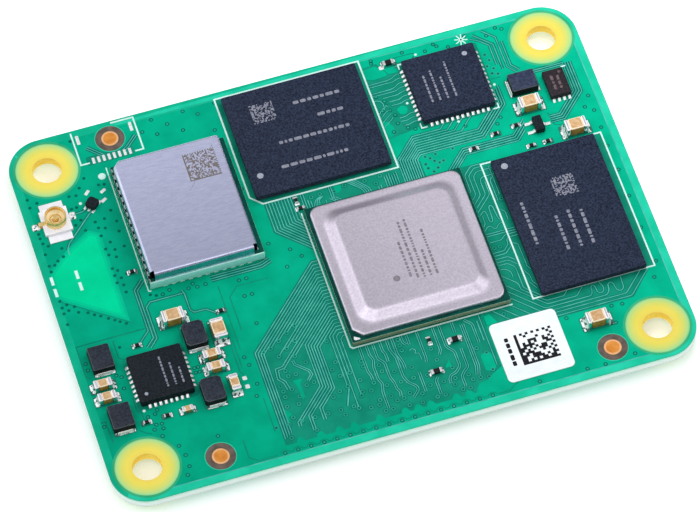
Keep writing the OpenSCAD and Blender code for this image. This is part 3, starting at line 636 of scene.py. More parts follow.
# tracks below the flash memory
for k in range(10):
    x = -5.9 + 0.295 * k
    tr([(x, 6.85), (x, 3.62 + 0.08 * k), (-2.8, 3.62 + 0.08 * k - (-2.8 - x))])
for k in range(4):
    tr(soften([(1.75 + 0.27 * k, 6.85), (1.95 + 0.27 * k, 6.7), (3.05 + 0.22 * k, 5.6), (3.25 + 0.2 * k, 4.6)], 0.3))
for x in np.arange(5.35, 6.75, 0.235):
    tr([(float(x), 6.4 + 0.15 * math.sin(9 * x)), (float(x), 4.6)])
for x, y0, y1 in ((-2.6, 6.85, 5.3), (-2.35, 6.85, 5.0), (-2.1, 6.0, 4.7), (-1.85, 5.8, 4.7), (0.12, 6.85, 5.4), (0.32, 6.85, 5.2), (4.55, 5.4, 4.6), (4.8, 5.5, 4.6), (-0.5, 5.5, 4.6)):
    tr([(x, y0), (x, y1)])
for k in range(3):
    tr(soften([(-1.75 + 0.22 * k, 5.0), (-1.45 + 0.2 * k, 5.75), (-0.95 + 0.16 * k, 6.0)], 0.2))
    tr(soften([(0.45 + 0.22 * k, 4.7), (0.3 + 0.3 * k, 5.15), (-0.15 + 0.3 * k, 5.55)], 0.2))
islands.append(soften([(0.6, 6.7), (1.3, 6.7), (1.25, 6.3), (0.95, 5.9), (0.6, 5.9), (0.6, 6.6)], 0.15)[:-1])
for k in range(9):
    x, y = 7.05 + 0.225 * k, 9.7 - 0.27 * k
    path = [(x, 4.65), (x, 7.6 - 0.06 * k), (x + y - 7.6 + 0.06 * k, y)]
    if k < 4:
        xb = 11.9 + 0.6 * k
        path += [(xb, y), (xb + 10.25 - y, 10.25)]
    else:
        c = -7.96 + 0.34 * (8 - k)
        path += [(y - c, y)] + ([(10.3 - c, 10.3)] if k < 6 else [(17.95 + 0.25 * (k - 6), 17.95 + 0.25 * (k - 6) + c), (17.95 + 0.25 * (k - 6), 12.3 + 0.2 * (k - 6))])
    pt(path, 1, w=0.12, clear=0.06)
for j, (x, y, xe, d) in enumerate(((11.2, 7.0, 18.1, 1.4), (11.5, 6.75, 18.2, 1.3), (11.8, 6.5, 18.3, 1.3), (12.1, 6.25, 18.4, 0.9))):
    pt([(x, 5.05), (x + y - 5.05, y), (xe, y), (xe + d, y + d)], 1, w=0.12, clear=0.06)

# between processor and working memory, and below it
for path in (
    [(12.3, 2.1), (12.42, 2.25), (12.42, 4.1), (13.25, 4.93), (15.1, 4.93)], [(12.3, 1.35), (12.75, 1.8), (12.75, 3.95), (13.45, 4.62), (14.15, 4.62)],
    [(12.35, 0.85), (13.15, 1.65), (13.15, 3.75), (13.6, 4.2), (15.1, 4.2)], [(12.4, 0.4), (13.62, 1.6), (13.62, 3.2), (13.92, 3.5), (15.1, 3.5)],
    [(12.35, -0.1), (13.85, 1.35), (14.0, 1.6), (14.0, 2.9)], [(14.5, 0.6), (14.5, 2.95), (14.75, 3.2)],
    [(12.35, -0.55), (12.9, -0.05), (13.05, -0.3), (13.05, -1.3), (13.2, -1.5), (13.38, -1.3), (13.45, 0.15), (13.62, 0.38), (13.82, 0.15), (13.9, -1.2), (14.05, -1.45)],
    [(12.35, -1.75), (12.6, -1.45), (12.6, -0.6)],
    [(12.3, -2.25), (12.65, -1.85), (12.95, -1.8), (13.25, -2.2), (13.45, -2.22), (13.7, -1.85), (14.1, -1.75)],
    [(12.3, -2.6), (15.1, -2.6)], [(12.3, -2.85), (15.1, -2.85)], [(12.3, -3.55), (13.45, -3.55), (13.9, -3.12), (15.1, -3.12)],
    [(12.3, -4.72), (13.35, -4.72), (13.9, -4.15), (13.9, -3.7), (14.1, -3.45), (15.1, -3.45)], [(12.3, -5.05), (13.4, -5.05), (14.05, -4.45)],
    [(12.3, -5.42), (13.45, -5.42), (14.0, -5.95)], [(12.3, -5.78), (13.35, -5.78), (14.0, -6.4)],
    [(12.3, -6.12), (13.2, -6.12), (13.75, -6.7), (13.75, -9.0), (15.0, -10.25)], [(12.35, -6.6), (12.75, -6.6), (13.2, -7.05), (13.2, -7.6)],
    [(14.35, -4.15), (14.75, -4.4), (14.8, -7.0), (15.05, -7.3)], [(14.35, -7.2), (14.72, -7.95), (14.72, -8.6), (15.1, -9.2)],
    [(14.45, -8.6), (14.9, -9.4)], [(14.45, -0.4), (14.75, -0.7), (14.75, -1.6)], [(14.85, 4.4), (14.85, 1.2)],
    [(12.3, -7.3), (13.3, -8.3), (13.45, -8.55), (13.45, -9.1), (15.3, -10.95), (17.0, -10.95), (17.5, -10.35)],
    [(12.3, -8.35), (15.28, -11.33), (18.1, -11.33), (19.0, -10.35)],
    [(12.3, -9.05), (14.95, -11.7), (19.35, -11.7), (19.55, -11.3), (19.55, -10.85), (19.75, -10.62), (19.95, -10.85), (19.98, -11.5), (20.2, -11.72),
     (20.55, -11.6), (20.68, -11.15), (20.35, -10.35)],
    [(12.3, -9.75), (14.65, -12.1), (20.75, -12.05), (21.08, -11.6), (21.1, -11.05), (21.38, -10.82), (21.62, -11.05), (21.72, -11.8), (22.05, -12.05), (22.4, -11.8), (22.5, -10.35)],
    [(12.0, -10.4), (13.7, -12.1)], [(11.1, -10.5), (12.6, -12.0)], [(10.3, -10.55), (11.6, -11.95)],
    [(15.3, -12.42), (22.45, -12.42), (24.6, -10.3)], [(15.3, -12.8), (22.85, -12.8), (25.3, -10.35)],
):
    tr(soften(path, 0.2) if len(path) > 2 else path, 0.105)

# tracks through the copper areas
pt([(-19.0, 2.5), (-19.95, 1.55), (-19.95, -2.95), (-21.1, -4.05)], 1)
pt([(-18.95, 2.15), (-19.7, 1.4), (-19.7, -3.8), (-20.5, -4.6)], 1)
pt([(-15.9, -0.08), (-18.95, -0.08), (-19.42, -0.55), (-19.42, -3.95), (-20.2, -4.75)], 1)
pt([(-15.85, 0.25), (-15.72, -0.2), (-15.72, -2.0), (-15.4, -2.35), (-14.35, -2.35), (-13.5, -3.05)], 1)
pt([(-13.0, 0.6), (-8.2, 0.6), (-7.3, 0.95)], 3, 0.25)
pt([(-21.35, 10.95), (-24.2, 8.2), (-24.5, 7.6), (-24.5, 7.0)], 1, w=0.14, clear=0.1)
pt([(-21.6, 11.4), (-22.1, 11.15), (-22.8, 11.1)], 1, w=0.14, clear=0.1)
pt([(-19.85, 17.75), (-18.6, 16.5)], 2, 0.22)
pt([(-15.15, 17.75), (-16.2, 16.75), (-16.65, 16.45)], 2, 0.22)
pt([(17.95, 18.75), (19.5, 17.2), (19.5, 14.3)], 1)
pt([(17.6, 18.4), (18.3, 18.0), (19.1, 17.2), (19.1, 14.9)], 1, clear=0.08)
pt([(18.9, 18.95), (19.95, 17.9), (19.95, 14.4), (20.6, 13.6)], 1, clear=0.08)
pt([(20.35, 17.3), (20.35, 14.5), (20.95, 13.75)], 1)
pt([(25.35, 13.2), (25.35, 9.85), (23.1, 7.6), (21.9, 7.6)], 4, 0.24, clear=0.08)
pt([(22.0, 13.15), (25.05, 13.15)], 2, 0.22)
pt([(9.9, 17.6), (11.6, 17.6), (12.1, 18.1)], 1)
# fan-out between flash memory and network chip
islands.append(soften([(6.95, 18.1), (8.3, 18.2), (8.9, 17.5), (9.1, 16.9), (7.7, 16.75), (6.95, 17.0), (6.95, 18.0)], 0.25)[:-1])
islands.append(soften([(8.7, 13.0), (9.3, 13.3), (9.75, 12.9), (9.5, 12.3), (8.9, 12.3), (8.7, 12.9)], 0.2)[:-1])
islands.append(soften([(7.05, 12.1), (7.6, 11.9), (7.9, 11.0), (7.5, 10.2), (7.05, 10.1), (7.05, 12.0)], 0.2)[:-1])
for k, (y0, y1, x1) in enumerate(((16.75, 16.35, 6.95), (16.25, 16.05, 6.95), (15.75, 15.3, 6.95), (15.25, 15.0, 6.95), (14.75, 14.55, 7.9), (14.25, 14.0, 8.3), (13.75, 13.55, 8.4),
                                  (12.25, 12.0, 8.7), (11.75, 11.6, 8.7), (11.25, 11.1, 9.0))):
    tr(soften([(10.35, y0), (9.75, y0), (9.3, (y0 + y1) / 2 - 0.12), (8.8, y1), (x1, y1)], 0.3), 0.11)
for k in range(4):
    tr(soften([(6.95, 12.9 - 0.5 * k), (7.25 + 0.05 * k, 13.2 - 0.5 * k), (7.6 + 0.1 * k, 13.55 - 0.5 * k), (8.1, 13.6 - 0.45 * k)], 0.25), 0.1)
tr(soften([(6.95, 14.5), (7.5, 14.4), (7.75, 13.9), (7.6, 13.3)], 0.3), 0.11)
gap([(-26.7, -2.65), (-20.2, -2.65)], 0.13)
gap([(-26.65, -2.65), (-26.65, -5.9), (-26.2, -6.3)], 0.12)
gap([(-23.3, -3.0), (-23.3, -4.9), (-22.8, -5.3)], 0.12)
gap([(-23.25, -9.3), (-23.25, -10.7), (-22.9, -11.1), (-22.9, -11.9)], 0.12)
gap([(-26.7, -10.95), (-26.25, -10.95), (-26.15, -13.2)], 0.12)
gap([(-13.3, -5.9), (-13.3, -9.7), (-13.05, -10.0)], 0.12)
gap([(-13.0, -6.3), (-13.0, -9.3)], 0.1)
gap([(-17.35, -9.2), (-17.35, -12.4)], 0.12)
gap([(-17.3, -3.4), (-17.3, -5.2)], 0.12)
gap([(-23.6, -12.7), (-23.2, -13.1), (-22.6, -13.4)], 0.1)
gap([(-12.1, -12.9), (-12.1, -16.5)], 0.1)
gap([(-15.1, -16.5), (-15.1, -18.4), (-14.4, -18.95), (-12.6, -18.95)], 0.1)
gap([(-26.55, 2.35), (-24.0, 0.42), (-21.3, -1.55)], 0.09)
gap([(-20.95, 15.9), (-20.95, 19.1)], 0.09)
gap([(9.3, 18.55), (12.0, 18.55), (12.3, 18.2)], 0.1)
gap([(18.1, 13.5), (19.0, 13.5)], 0.1)
gap([(21.9, 8.35), (22.1, 6.9), (22.9, 6.6)], 0.1)
gap([(-8.0, -0.9), (-11.0, -0.9), (-11.9, -1.8), (-11.9, -5.5)], 0.1)
gap([(-12.6, -0.4), (-12.6, -7.5)], 0.09)
front_dots = [-11.9 + 1.215 * k for k in range(17)]
line = []
for x in front_dots:
    line += [(x - 0.42, -18.92), (x - 0.3, -18.72), (x, -18.6), (x + 0.3, -18.72), (x + 0.42, -18.92)]
gap(line, 0.085)
gap([(8.1, -18.92), (9.2, -18.92), (9.6, -18.6), (10.2, -18.3)], 0.085)

for lst in (
    [(-1.7, 6.2), (-0.85, 6.3), (-1.2, 5.3), (0.5, 6.15), (1.55, 6.5), (3.5, 6.4), (4.4, 5.8), (5.0, 6.5), (9.6, 7.2), (10.6, 7.2), (10.0, 6.9), (10.3, 6.5), (10.7, 6.2)],
    [(9.5, 5.9), (9.9, 5.4), (10.4, 5.7), (9.4, 6.4), (11.1, 6.3), (12.3, 7.3), (18.4, 16.3), (18.6, 15.6), (18.2, 15.0), (18.7, 14.6), (18.4, 14.1), (18.9, 13.9), (12.55, -4.2), (13.1, -4.2), (14.85, 0.7)],
    [(-9.4, -10.8), (-9.3, -11.4), (-8.6, -11.4), (-10.3, -12.2), (-10.2, -12.8), (-9.4, -12.8), (-10.2, -13.4), (-8.0, -12.8), (-7.3, -12.7), (-7.4, -10.5)],
    [(-4.85, -11.3), (-4.85, -12.8), (-4.95, -8.95), (-10.7, -8.3), (-3.45, -15.0), (-2.2, -14.4), (-6.1, -14.7), (7.85, -16.95), (8.4, -16.35), (11.15, -11.15)],
    [(-11.9 + 1.21 * k, -16.2) for k in range(7)], [(-5.6, -16.8), (-3.2, -16.8), (-2.4, -16.75)],
    [(-2.6, -11.9), (-2.6, -12.5), (1.2, -10.8), (1.2, -11.4), (1.2, -11.95), (3.75, -12.6), (-1.2, -12.8), (-1.15, -13.5), (-1.15, -15.0), (0.15, -15.05), (1.35, -15.0), (2.6, -15.1), (5.0, -15.05)],
    [(-2.2, -16.3), (-1.15, -16.2), (0.55, -16.4), (2.55, -16.2), (3.8, -16.2), (4.9, -16.2), (6.15, -16.2), (-0.75, -16.8), (-0.1, -16.75), (1.6, -16.8), (4.7, -16.8), (6.4, -16.8), (7.1, -16.8)],
    [(8.4, -14.5), (7.7, -13.8), (-2.05, -17.52), (-1.35, -17.52), (0.15, -17.6), (1.35, -17.7), (2.8, -17.55), (3.55, -17.55), (5.22, -17.5), (5.9, -17.55), (-10.9, -17.6), (-8.5, -17.5)],
):
    ring_vias += lst
dot_vias += [(x, -18.92) for x in front_dots] + [(12.0, -18.85), (16.5, -18.9), (18.2, -18.95), (21.1, -18.7)]
dot_vias += [(-26.6, 13.9), (-25.85, 13.3), (-26.6, 13.0), (-21.7, 13.7), (-22.85, 13.1), (-22.2, 13.0), (-23.0, 11.7), (-22.5, 11.75), (-22.5, 10.3), (-23.1, 9.9),
             (-21.3, 9.7), (-20.4, 9.8), (-19.6, 10.5), (-19.4, 9.2), (-20.6, 8.8), (-21.2, 9.0), (-22.4, 9.1), (-26.5, 8.9), (-26.1, 8.5), (-25.4, 8.7), (-25.0, 7.9),
             (-26.6, 7.7), (-25.1, 7.0), (-25.7, 6.7), (-26.1, 6.35), (-26.6, 6.4), (-26.6, 5.75), (-21.2, 8.1), (-20.6, 7.2), (-21.2, 6.6), (-20.4, 6.3), (-21.1, 5.9),
             (-20.5, 5.5), (-19.5, 8.1), (-19.5, 6.4), (-19.4, 13.4), (-26.6, 10.0), (-26.6, 9.5), (-21.1, 18.9), (-21.0, 14.6), (-19.9, 13.5)]
dot_vias += [(-21.2, 4.4), (-21.2, 3.6), (-20.7, 3.2), (-21.2, 2.8), (-20.7, 2.4), (-20.7, 1.6), (-20.8, 4.05), (-20.1, 3.5), (-26.7, 2.5), (-26.2, 1.95), (-26.7, 1.75),
             (-25.6, 1.55), (-26.2, 1.3), (-26.7, 1.1), (-25.4, 0.85), (-24.6, 0.55), (-24.1, 0.15), (-23.6, -0.15), (-23.0, -0.6), (-22.5, -0.95), (-22.1, -1.25), (-21.6, -1.6),
             (-26.7, -0.1), (-18.7, 0.65), (-18.2, 0.4), (-17.6, 0.35), (-16.9, 0.6), (-15.2, 0.25), (-14.7, 0.6), (-14.4, 0.15), (-13.6, 0.2)]
dot_vias += [(-26.3, -4.6), (-26.3, -5.3), (-22.9, -3.85), (-23.6, -6.9), (-24.0, -6.6), (-23.7, -8.1), (-17.1, -8.0), (-16.75, -8.0), (-17.1, -8.5), (-16.75, -8.5), (-21.8, -11.5),
             (-21.5, -11.15), (-22.5, -11.6), (-22.0, -12.6), (-21.5, -12.65), (-22.3, -13.05), (-21.5, -13.15), (-21.8, -13.9), (-26.5, -14.2), (-26.5, -11.4), (-20.7, -15.3), (-20.4, -16.4),
             (-20.4, -17.6), (-20.8, -18.4), (-17.1, -15.4), (-12.5, -8.3), (-12.3, -9.2), (-12.2, -11.3), (-12.6, -12.5), (-10.6, -0.35), (-9.9, -0.35), (-10.6, -2.1), (-9.9, -2.1), (-10.4, -5.2)]
dot_vias += [(26.1, 9.0), (26.1, 7.3), (26.1, 5.3), (26.1, -10.0), (26.3, -14.0), (25.4, -11.6), (21.7, -13.4), (20.7, -13.3), (16.4, -13.3), (19.3, -15.75), (20.5, -15.1),
             (7.3, 14.9), (7.9, 14.2), (7.9, 13.7), (7.4, 13.2), (8.1, 13.1), (8.4, 12.45), (8.35, 11.5), (7.7, 10.7), (9.1, 10.75), (9.7, 10.4), (19.2, 18.3), (25.4, 7.9), (20.8, 18.6),
             (13.2, 18.4), (14.4, 18.6), (15.4, 18.2), (8.0, 18.6), (11.0, 16.5), (-14.45, 17.85), (-13.2, 17.2), (-12.0, 18.0), (-10.8, 16.9), (-9.0, 18.2), (-8.0, 16.0), (-7.6, 12.0), (-7.5, 9.0),
             (-6.9, 2.6), (-5.2, 1.4), (-4.4, 0.4), (-6.0, -0.3), (26.0, 3.2), (26.1, 0.4), (26.1, -2.6), (26.0, -6.2), (22.3, 18.6), (17.1, 8.6), (17.6, 9.2), (14.2, 9.3)]
for x in np.arange(-25.5, 26.0, 3.05):
    if abs(abs(x) - 24) > 3.4 and not -21.2 < x < -14.6:
        dot_vias.append((float(x), 18.9))
# more vias of the front zone, wherever its tracks and parts leave room
segs = np.array([(*p[i][:2], *p[i + 1][:2]) for p, w in tracks for i in range(len(p) - 1)], float)
runs = segs[:, 2:] - segs[:, :2]
fill = random.Random(77)
for j, y in enumerate(np.arange(-16.9, -10.7, 0.62)):
    for x in np.arange(-11.0, 8.8, 0.8):
        q = np.array([x + 0.4 * (j % 2) + fill.uniform(-0.15, 0.15), y + fill.uniform(-0.12, 0.12)])
        t = np.clip(((q - segs[:, :2]) * runs).sum(1) / np.maximum((runs * runs).sum(1), 1e-9), 0, 1)
        free = np.hypot(*(segs[:, :2] + t[:, None] * runs - q).T).min() > 0.36
        free = free and all(math.hypot(q[0] - a, q[1] - b) > 0.78 for a, b in ring_vias)
        if free and all(math.hypot(q[0] - a, q[1] - b) > 1.1 for a, b in ((6.1, -12.4), (3.5, -15.1), (3.85, -11.8))):
            ring_vias.append((float(q[0]), float(q[1])))
print("vias in the board's front zone and elsewhere:", len(ring_vias))


# ------------------------------------------------------------------ board: solid parts
BULK = [(-17.5, -2.6, 0), (20.5, 9.5, 0), (23.75, 5.75, 0), (18.9, -14.5, 0), (-13.95, -5.2, 90)]
INPUT = [(-15.25, -7.35, 0), (-15.25, -8.7, 0), (-25.45, -7.4, 0), (-25.45, -8.8, 0), (-14.15, -10.9, 90)]
RES = [(9.5, 18.1, 0), (6.1, -12.4, 0), (3.5, -15.1, 0)]
TINY = [(14.15, 6.6, 0), (16.55, 7.55, 0), (18.65, 7.85, 0), (19.3, 5.3, 0), (20.9, 5.3, 0), (-3.15, 6.2, 90), (-3.0, 5.3, 0), (-13.1, -3.0, 0), (-20.8, -12.05, 0), (3.85, -11.8, 90), (-19.6, 3.45, 0),
        (-21.35, -4.2, 0), (-22.75, -12.15, 0)]
COILS = [(-24.9, -4.85, 90), (-24.85, -11.25, 90), (-16.15, -5.0, 90), (-16.25, -11.1, 90), (20.65, 11.9, 0)]
PASSIVES = [(BULK, 2.0, 1.25, 0.42), (INPUT, 1.65, 0.85, 0.36), ([(-18.9, -12.05, 0)], 1.0, 0.55, 0.26), (RES, 1.0, 0.5, 0.2), (TINY, 0.62, 0.32, 0.16), (COILS, 2.5, 1.75, 0.2)]
core = Piece()
core_loops = [rrect(0, 0, 54.96, 39.96, 3.38, 14)] + [circle(x, y, 1.36) for x, y in HOLES]


def in_board(C):
    ok = inside(core_loops[0], C)
    for h in core_loops[1:]:
        ok &= ~inside(h, C)
    return ok


def in_rings(C, r):
    ok = np.zeros(len(C), bool)
    for x, y in HOLES:
        ok |= (C[:, 0] - x) ** 2 + (C[:, 1] - y) ** 2 < r * r
    return ok


core.plate(core_loops + [circle(x, y, 2.92, 64) for x, y in HOLES] + [circle(x, y, 2.1, 48) for x, y in HOLES], in_board, Z_CORE0, Z_CORE1)
mids = [np.mean([core.v[i] for i in f], axis=0) for f in core.f]
flat = [all(abs(core.v[i][2] - core.v[f[0]][2]) < 1e-6 for i in f) for f in core.f]
for i, (c, fl) in enumerate(zip(mids, flat)):
    near = min(math.hypot(c[0] - x, c[1] - y) for x, y in HOLES)
    if fl:
        core.m[i] = 1 if near < 2.9 else 0
    else:
        core.m[i] = 3 if near < 1.8 else 2
core.build("board_core", [M_BASE, M_RING, M_EDGE, M_WALL], ("circuit_board",), smooth=30)

mask = Piece()
LINE_EDGE = rrect(0, 0, 53.62, 38.52, 2.7, 10)
rims = [circle(x, y, 2.92, 64) for x, y in HOLES]
band = rrect(0, 0, 54.9, 39.9, 3.36, 14)
target = circle(*FIDUCIALS[0], 1.49, 40)


def in_target(C, loops):
    return inside(loops[0], C) if loops else np.zeros(len(C), bool)


for lo, hi in ((Z_CORE1 - 0.002, Z_POUR - 0.004), (2 * ZB + 1 - (Z_POUR - 0.004), 2 * ZB + 1 - (Z_CORE1 - 0.002))):
    top = [target] if lo > 1.5 else []
    mask.plate([band, LINE_EDGE] + rims + top, lambda C: inside(band, C) & ~inside(LINE_EDGE, C) & ~in_rings(C, 2.92) & ~in_target(C, top), lo, hi, 1)
    # painted highlight: the thin strip between the rim line and the copper's edge takes the tracks' lighter finish
    mask.plate([LINE_EDGE, POUR_EDGE] + rims + top, lambda C: inside(LINE_EDGE, C) & ~inside(POUR_EDGE, C) & ~in_rings(C, 2.92) & ~in_target(C, top), lo, hi, 2)
mask.plate([NICHE_IN], lambda C: inside(NICHE_IN, C), Z_CORE1 - 0.002, Z_POUR - 0.002)
mask.plate([NICHE_OUT, NICHE], lambda C: inside(NICHE_OUT, C) & ~inside(NICHE, C), Z_CORE1 - 0.002, Z_POUR - 0.002, 5)
mask.plate([NICHE, NICHE_IN], lambda C: inside(NICHE, C) & ~inside(NICHE_IN, C), Z_CORE1 - 0.002, Z_POUR - 0.002, 6)
for k, f in enumerate(mask.f):
    c = np.mean([mask.v[i] for i in f], axis=0)
    if mask.m[k] in (1, 2) and (c[0] < -26.4 or c[1] > 18.9) and c[0] + 1.3 * c[1] < 22:
        mask.m[k] = 3
for x, y in HOLES:
    rim, out = circle(x, y, 2.92, 64), circle(x, y, 3.15, 64)
    for lo, hi in ((Z_CORE1 - 0.002, Z_POUR - 0.0025), (3.0 - (Z_POUR - 0.0025), 3.0 - (Z_CORE1 - 0.002))):
        mask.plate([rim, out], lambda C: inside(out, C) & ~inside(rim, C), lo, hi, 4)
mask.build("board_mask_bare", [M_BARE, M_BAND, M_TRACE_AND_RIM_LINE, M_SHORE, M_MOAT, M_NICHE1, M_NICHE2])

pour = Piece()
shapes = cuts + [circle(x, y, 3.13, 48) for x, y in HOLES] + [circle(x, y, 1.5, 40) for x, y in FIDUCIALS] + [rrect(-18.0, 16.25, 4.5, 1.0, 0.2, 3)]
for lst, L, W, e in PASSIVES:
    shapes += [rrect(x, y, L + 2 * e + 0.2, W + 0.34, 0.14, 3, t) for x, y, t in lst]


def in_pour(C):
    ok = inside(POUR_EDGE, C) & ~inside(NICHE_OUT, C)
    for s in shapes:
        ok &= ~inside(s, C)
    return ok


pour.plate([POUR_EDGE, NICHE_OUT] + shapes, in_pour, Z_CORE1 - 0.002, Z_POUR)
for isl in islands:
    pour.plate([isl], lambda C, isl=isl: inside(isl, C), Z_CORE1 - 0.002, Z_POUR)
pour.build("board_copper_areas", [M_POUR], smooth=20)

lines = Piece()
for p, w in tracks:
    # painted shade: a wider dark strip under each track shows as dark edges along its sides
    lines.strip(p, w + 0.1, Z_CORE1 - 0.002, Z_CORE1 + 0.004, 1)
    lines.strip(p, w - 0.015, Z_CORE1 - 0.002, Z_TRACE)
lines.build("board_tracks", [M_TRACE_AND_RIM_LINE, M_TRACK_SHADE], smooth=0)

# what stands on the board, so that no via comes to lie half below it
KEEP_OUT = [(4.6, -2.85, 15, 15), (-0.1, 12.92, 13, 11.5), (20, -3.1, 10, 15), (-13.1, 7.7, 11, 13.3), (14.05, 14, 7.6, 7.6), (-20.25, -8, 5.6, 5.6), (12.5, -15.1, 6.4, 6.4)]


def clear_of_parts(x, y):
    return (all(abs(x - cx) > w / 2 or abs(y - cy) > h / 2 for cx, cy, w, h in KEEP_OUT)
            and all(math.hypot(x - hx, y - hy) > 3.4 for hx, hy in HOLES) and all(math.hypot(x - fx, y - fy) > 1.75 for fx, fy in FIDUCIALS))


vias = Piece()
for x, y in ring_vias:
    if clear_of_parts(x, y):
        vias.lathe(x, y, [(0, Z_CORE1 - 0.01), (0.27, Z_CORE1 - 0.01), (0.27, Z_CORE1 + 0.005), (0.215, Z_CORE1 + 0.006), (0.205, Z_TRACE - 0.002), (0.19, Z_TRACE + 0.001), (0.115, Z_TRACE + 0.001),
                          (0.095, Z_POUR + 0.0015), (0, Z_POUR + 0.001)], 14, mats=[2, 2, 2, 0, 0, 0, 2, 2])
for x, y in dot_vias:
    if clear_of_parts(x, y) and x < -18 and y > -4:
        vias.lathe(x, y, [(0, Z_CORE1 - 0.01), (0.16, Z_CORE1 - 0.01), (0.16, Z_POUR + 0.001), (0.14, Z_POUR + 0.0025), (0, Z_POUR + 0.003)], 12, mats=[2, 2, 2, 2])
    elif clear_of_parts(x, y):
        vias.lathe(x, y, [(0, Z_CORE1 - 0.01), (0.205, Z_CORE1 - 0.01), (0.205, Z_POUR + 0.0005), (0.195, Z_POUR + 0.002), (0.12, Z_POUR + 0.002), (0.105, Z_POUR + 0.003), (0, Z_POUR + 0.003)],
                   14, mats=[2, 2, 2, 2, 2, 1])
vias.build("board_vias", [M_VIA, M_VIA, M_DARK], smooth=40)

silk = Piece()


def sl(pts, w=0.15, close=False):
    if close:
        pts = list(pts) + [pts[0], pts[1]]
        a = offs(pts, w / 2)[1:], offs(pts, -w / 2)[1:]
        n = len(pts) - 2
        outer, inner = [tuple(p) for p in a[0][:n]], [tuple(p) for p in a[1][:n]]
        silk.plate([outer, inner], lambda C: inside(outer, C) ^ inside(inner, C), ZT - 0.02, Z_SILK)
    else:
        silk.plate([outline(pts, w)], lambda C: inside(outline(pts, w), C), ZT - 0.02, Z_SILK)


def dot(x, y, d):
    c = circle(x, y, d / 2, 24)
    silk.plate([c], lambda C: inside(c, C), ZT - 0.02, Z_SILK)


sl([(-7.1, 19.25), (6.9, 19.25), (6.9, 6.87), (-6.1, 6.87), (-7.1, 7.87)], 0.16, True)
sl([(14.2, 4.8), (25.85, 4.8), (25.85, -10.42), (14.2, -10.42)], 0.15, True)
sl([(-3.08, 4.8), (-3.08, -10.2), (-2.9, -10.39), (12.25, -10.39)], 0.14)
sl([(-18.74, 15.1), (-18.74, 1.05), (-18.5, 1.0)], 0.1)
sl([(-20.0, 16.05), (-20.85, 16.05), (-20.85, 19.72)], 0.15)
sl([(-17.0, 19.72), (-14.85, 19.72), (-14.85, 16.05), (-15.65, 16.05)], 0.15)
for x in (-26.8, -24.45):
    for y in (4.75, 3.45):
        sl([(x, y + 0.45), (x, y - 0.45)], 0.28)
for a in (0, 45, 90, 135):
    c, s = 0.62 * math.cos(math.radians(a + 30)), 0.62 * math.sin(math.radians(a + 30))
    sl([(16.8 - c, 18.6 - s), (16.8 + c, 18.6 + s)], 0.1)
for x, y, d in ((-19.35, 14.3, 0.7), (-22.05, 12.05, 0.3), (-22.65, -10.9, 0.28), ):
    dot(x, y, d)
for x, y in ((12.25, 18.3), (9.85, 13.35), (13.75, 9.95), (18.2, 12.85)):
    dot(x, y, 0.26)
for x, y, sx, sy in ((10.3, 10.3, 1, 1), (10.3, 17.7, 1, -1), (17.8, 10.3, -1, 1)):
    sl([(x + 0.55 * sx, y), (x, y), (x, y + 0.55 * sy)], 0.13)
sl([(24.7, 12.85), (25.15, 12.85)], 0.14)
silk.build("board_print", [M_SILK], smooth=0)

pads = Piece()


def pad(x, y, w, h, turn=0.0, mat=0, z=ZT + 0.01):
    pads.rplate(x, y, w, h, min(w, h) * 0.22, Z_CORE1 - 0.002, z, 0.012, turn, mat, 3)


for k in range(8):
    pad(-19.6 + 0.5 * k, 16.2, 0.26, 0.66)
pad(-20.4, 18.8, 0.3, 1.0); pad(-15.3, 18.8, 0.3, 1.0)
for x, y in ((-21.15, 13.0), (-19.7, 12.75), (-19.9, 11.75)):
    pad(x, y, 0.6, 0.3, 45 if x < -21 else 30)
pad(8.75, 17.85, 0.45, 0.4)
pad(-13.1, -10.4, 0.4, 0.4); pad(-13.1, -11.3, 0.4, 0.42)
for x, y in FIDUCIALS:
    pads.lathe(x, y, [(0, Z_CORE1 - 0.01), (1.475, Z_CORE1 - 0.01), (1.475, Z_CORE1 + 0.012), (1.38, Z_CORE1 + 0.003), (0.8, Z_CORE1 + 0.003), (0.79, Z_CORE1 + 0.016), (0.76, Z_CORE1 + 0.02), (0.62, Z_CORE1 + 0.02), (0, Z_CORE1 + 0.02)],
               40, mats=[1, 1, 4, 1, 3, 3, 3, 2])
pads.build("board_pads", [M_SOLDER, M_OPEN, M_COPPER, M_COPPER_RIM, M_BAND], smooth=35)

# ------------------------------------------------------------------ solder on the parts' ends
joints = Piece()


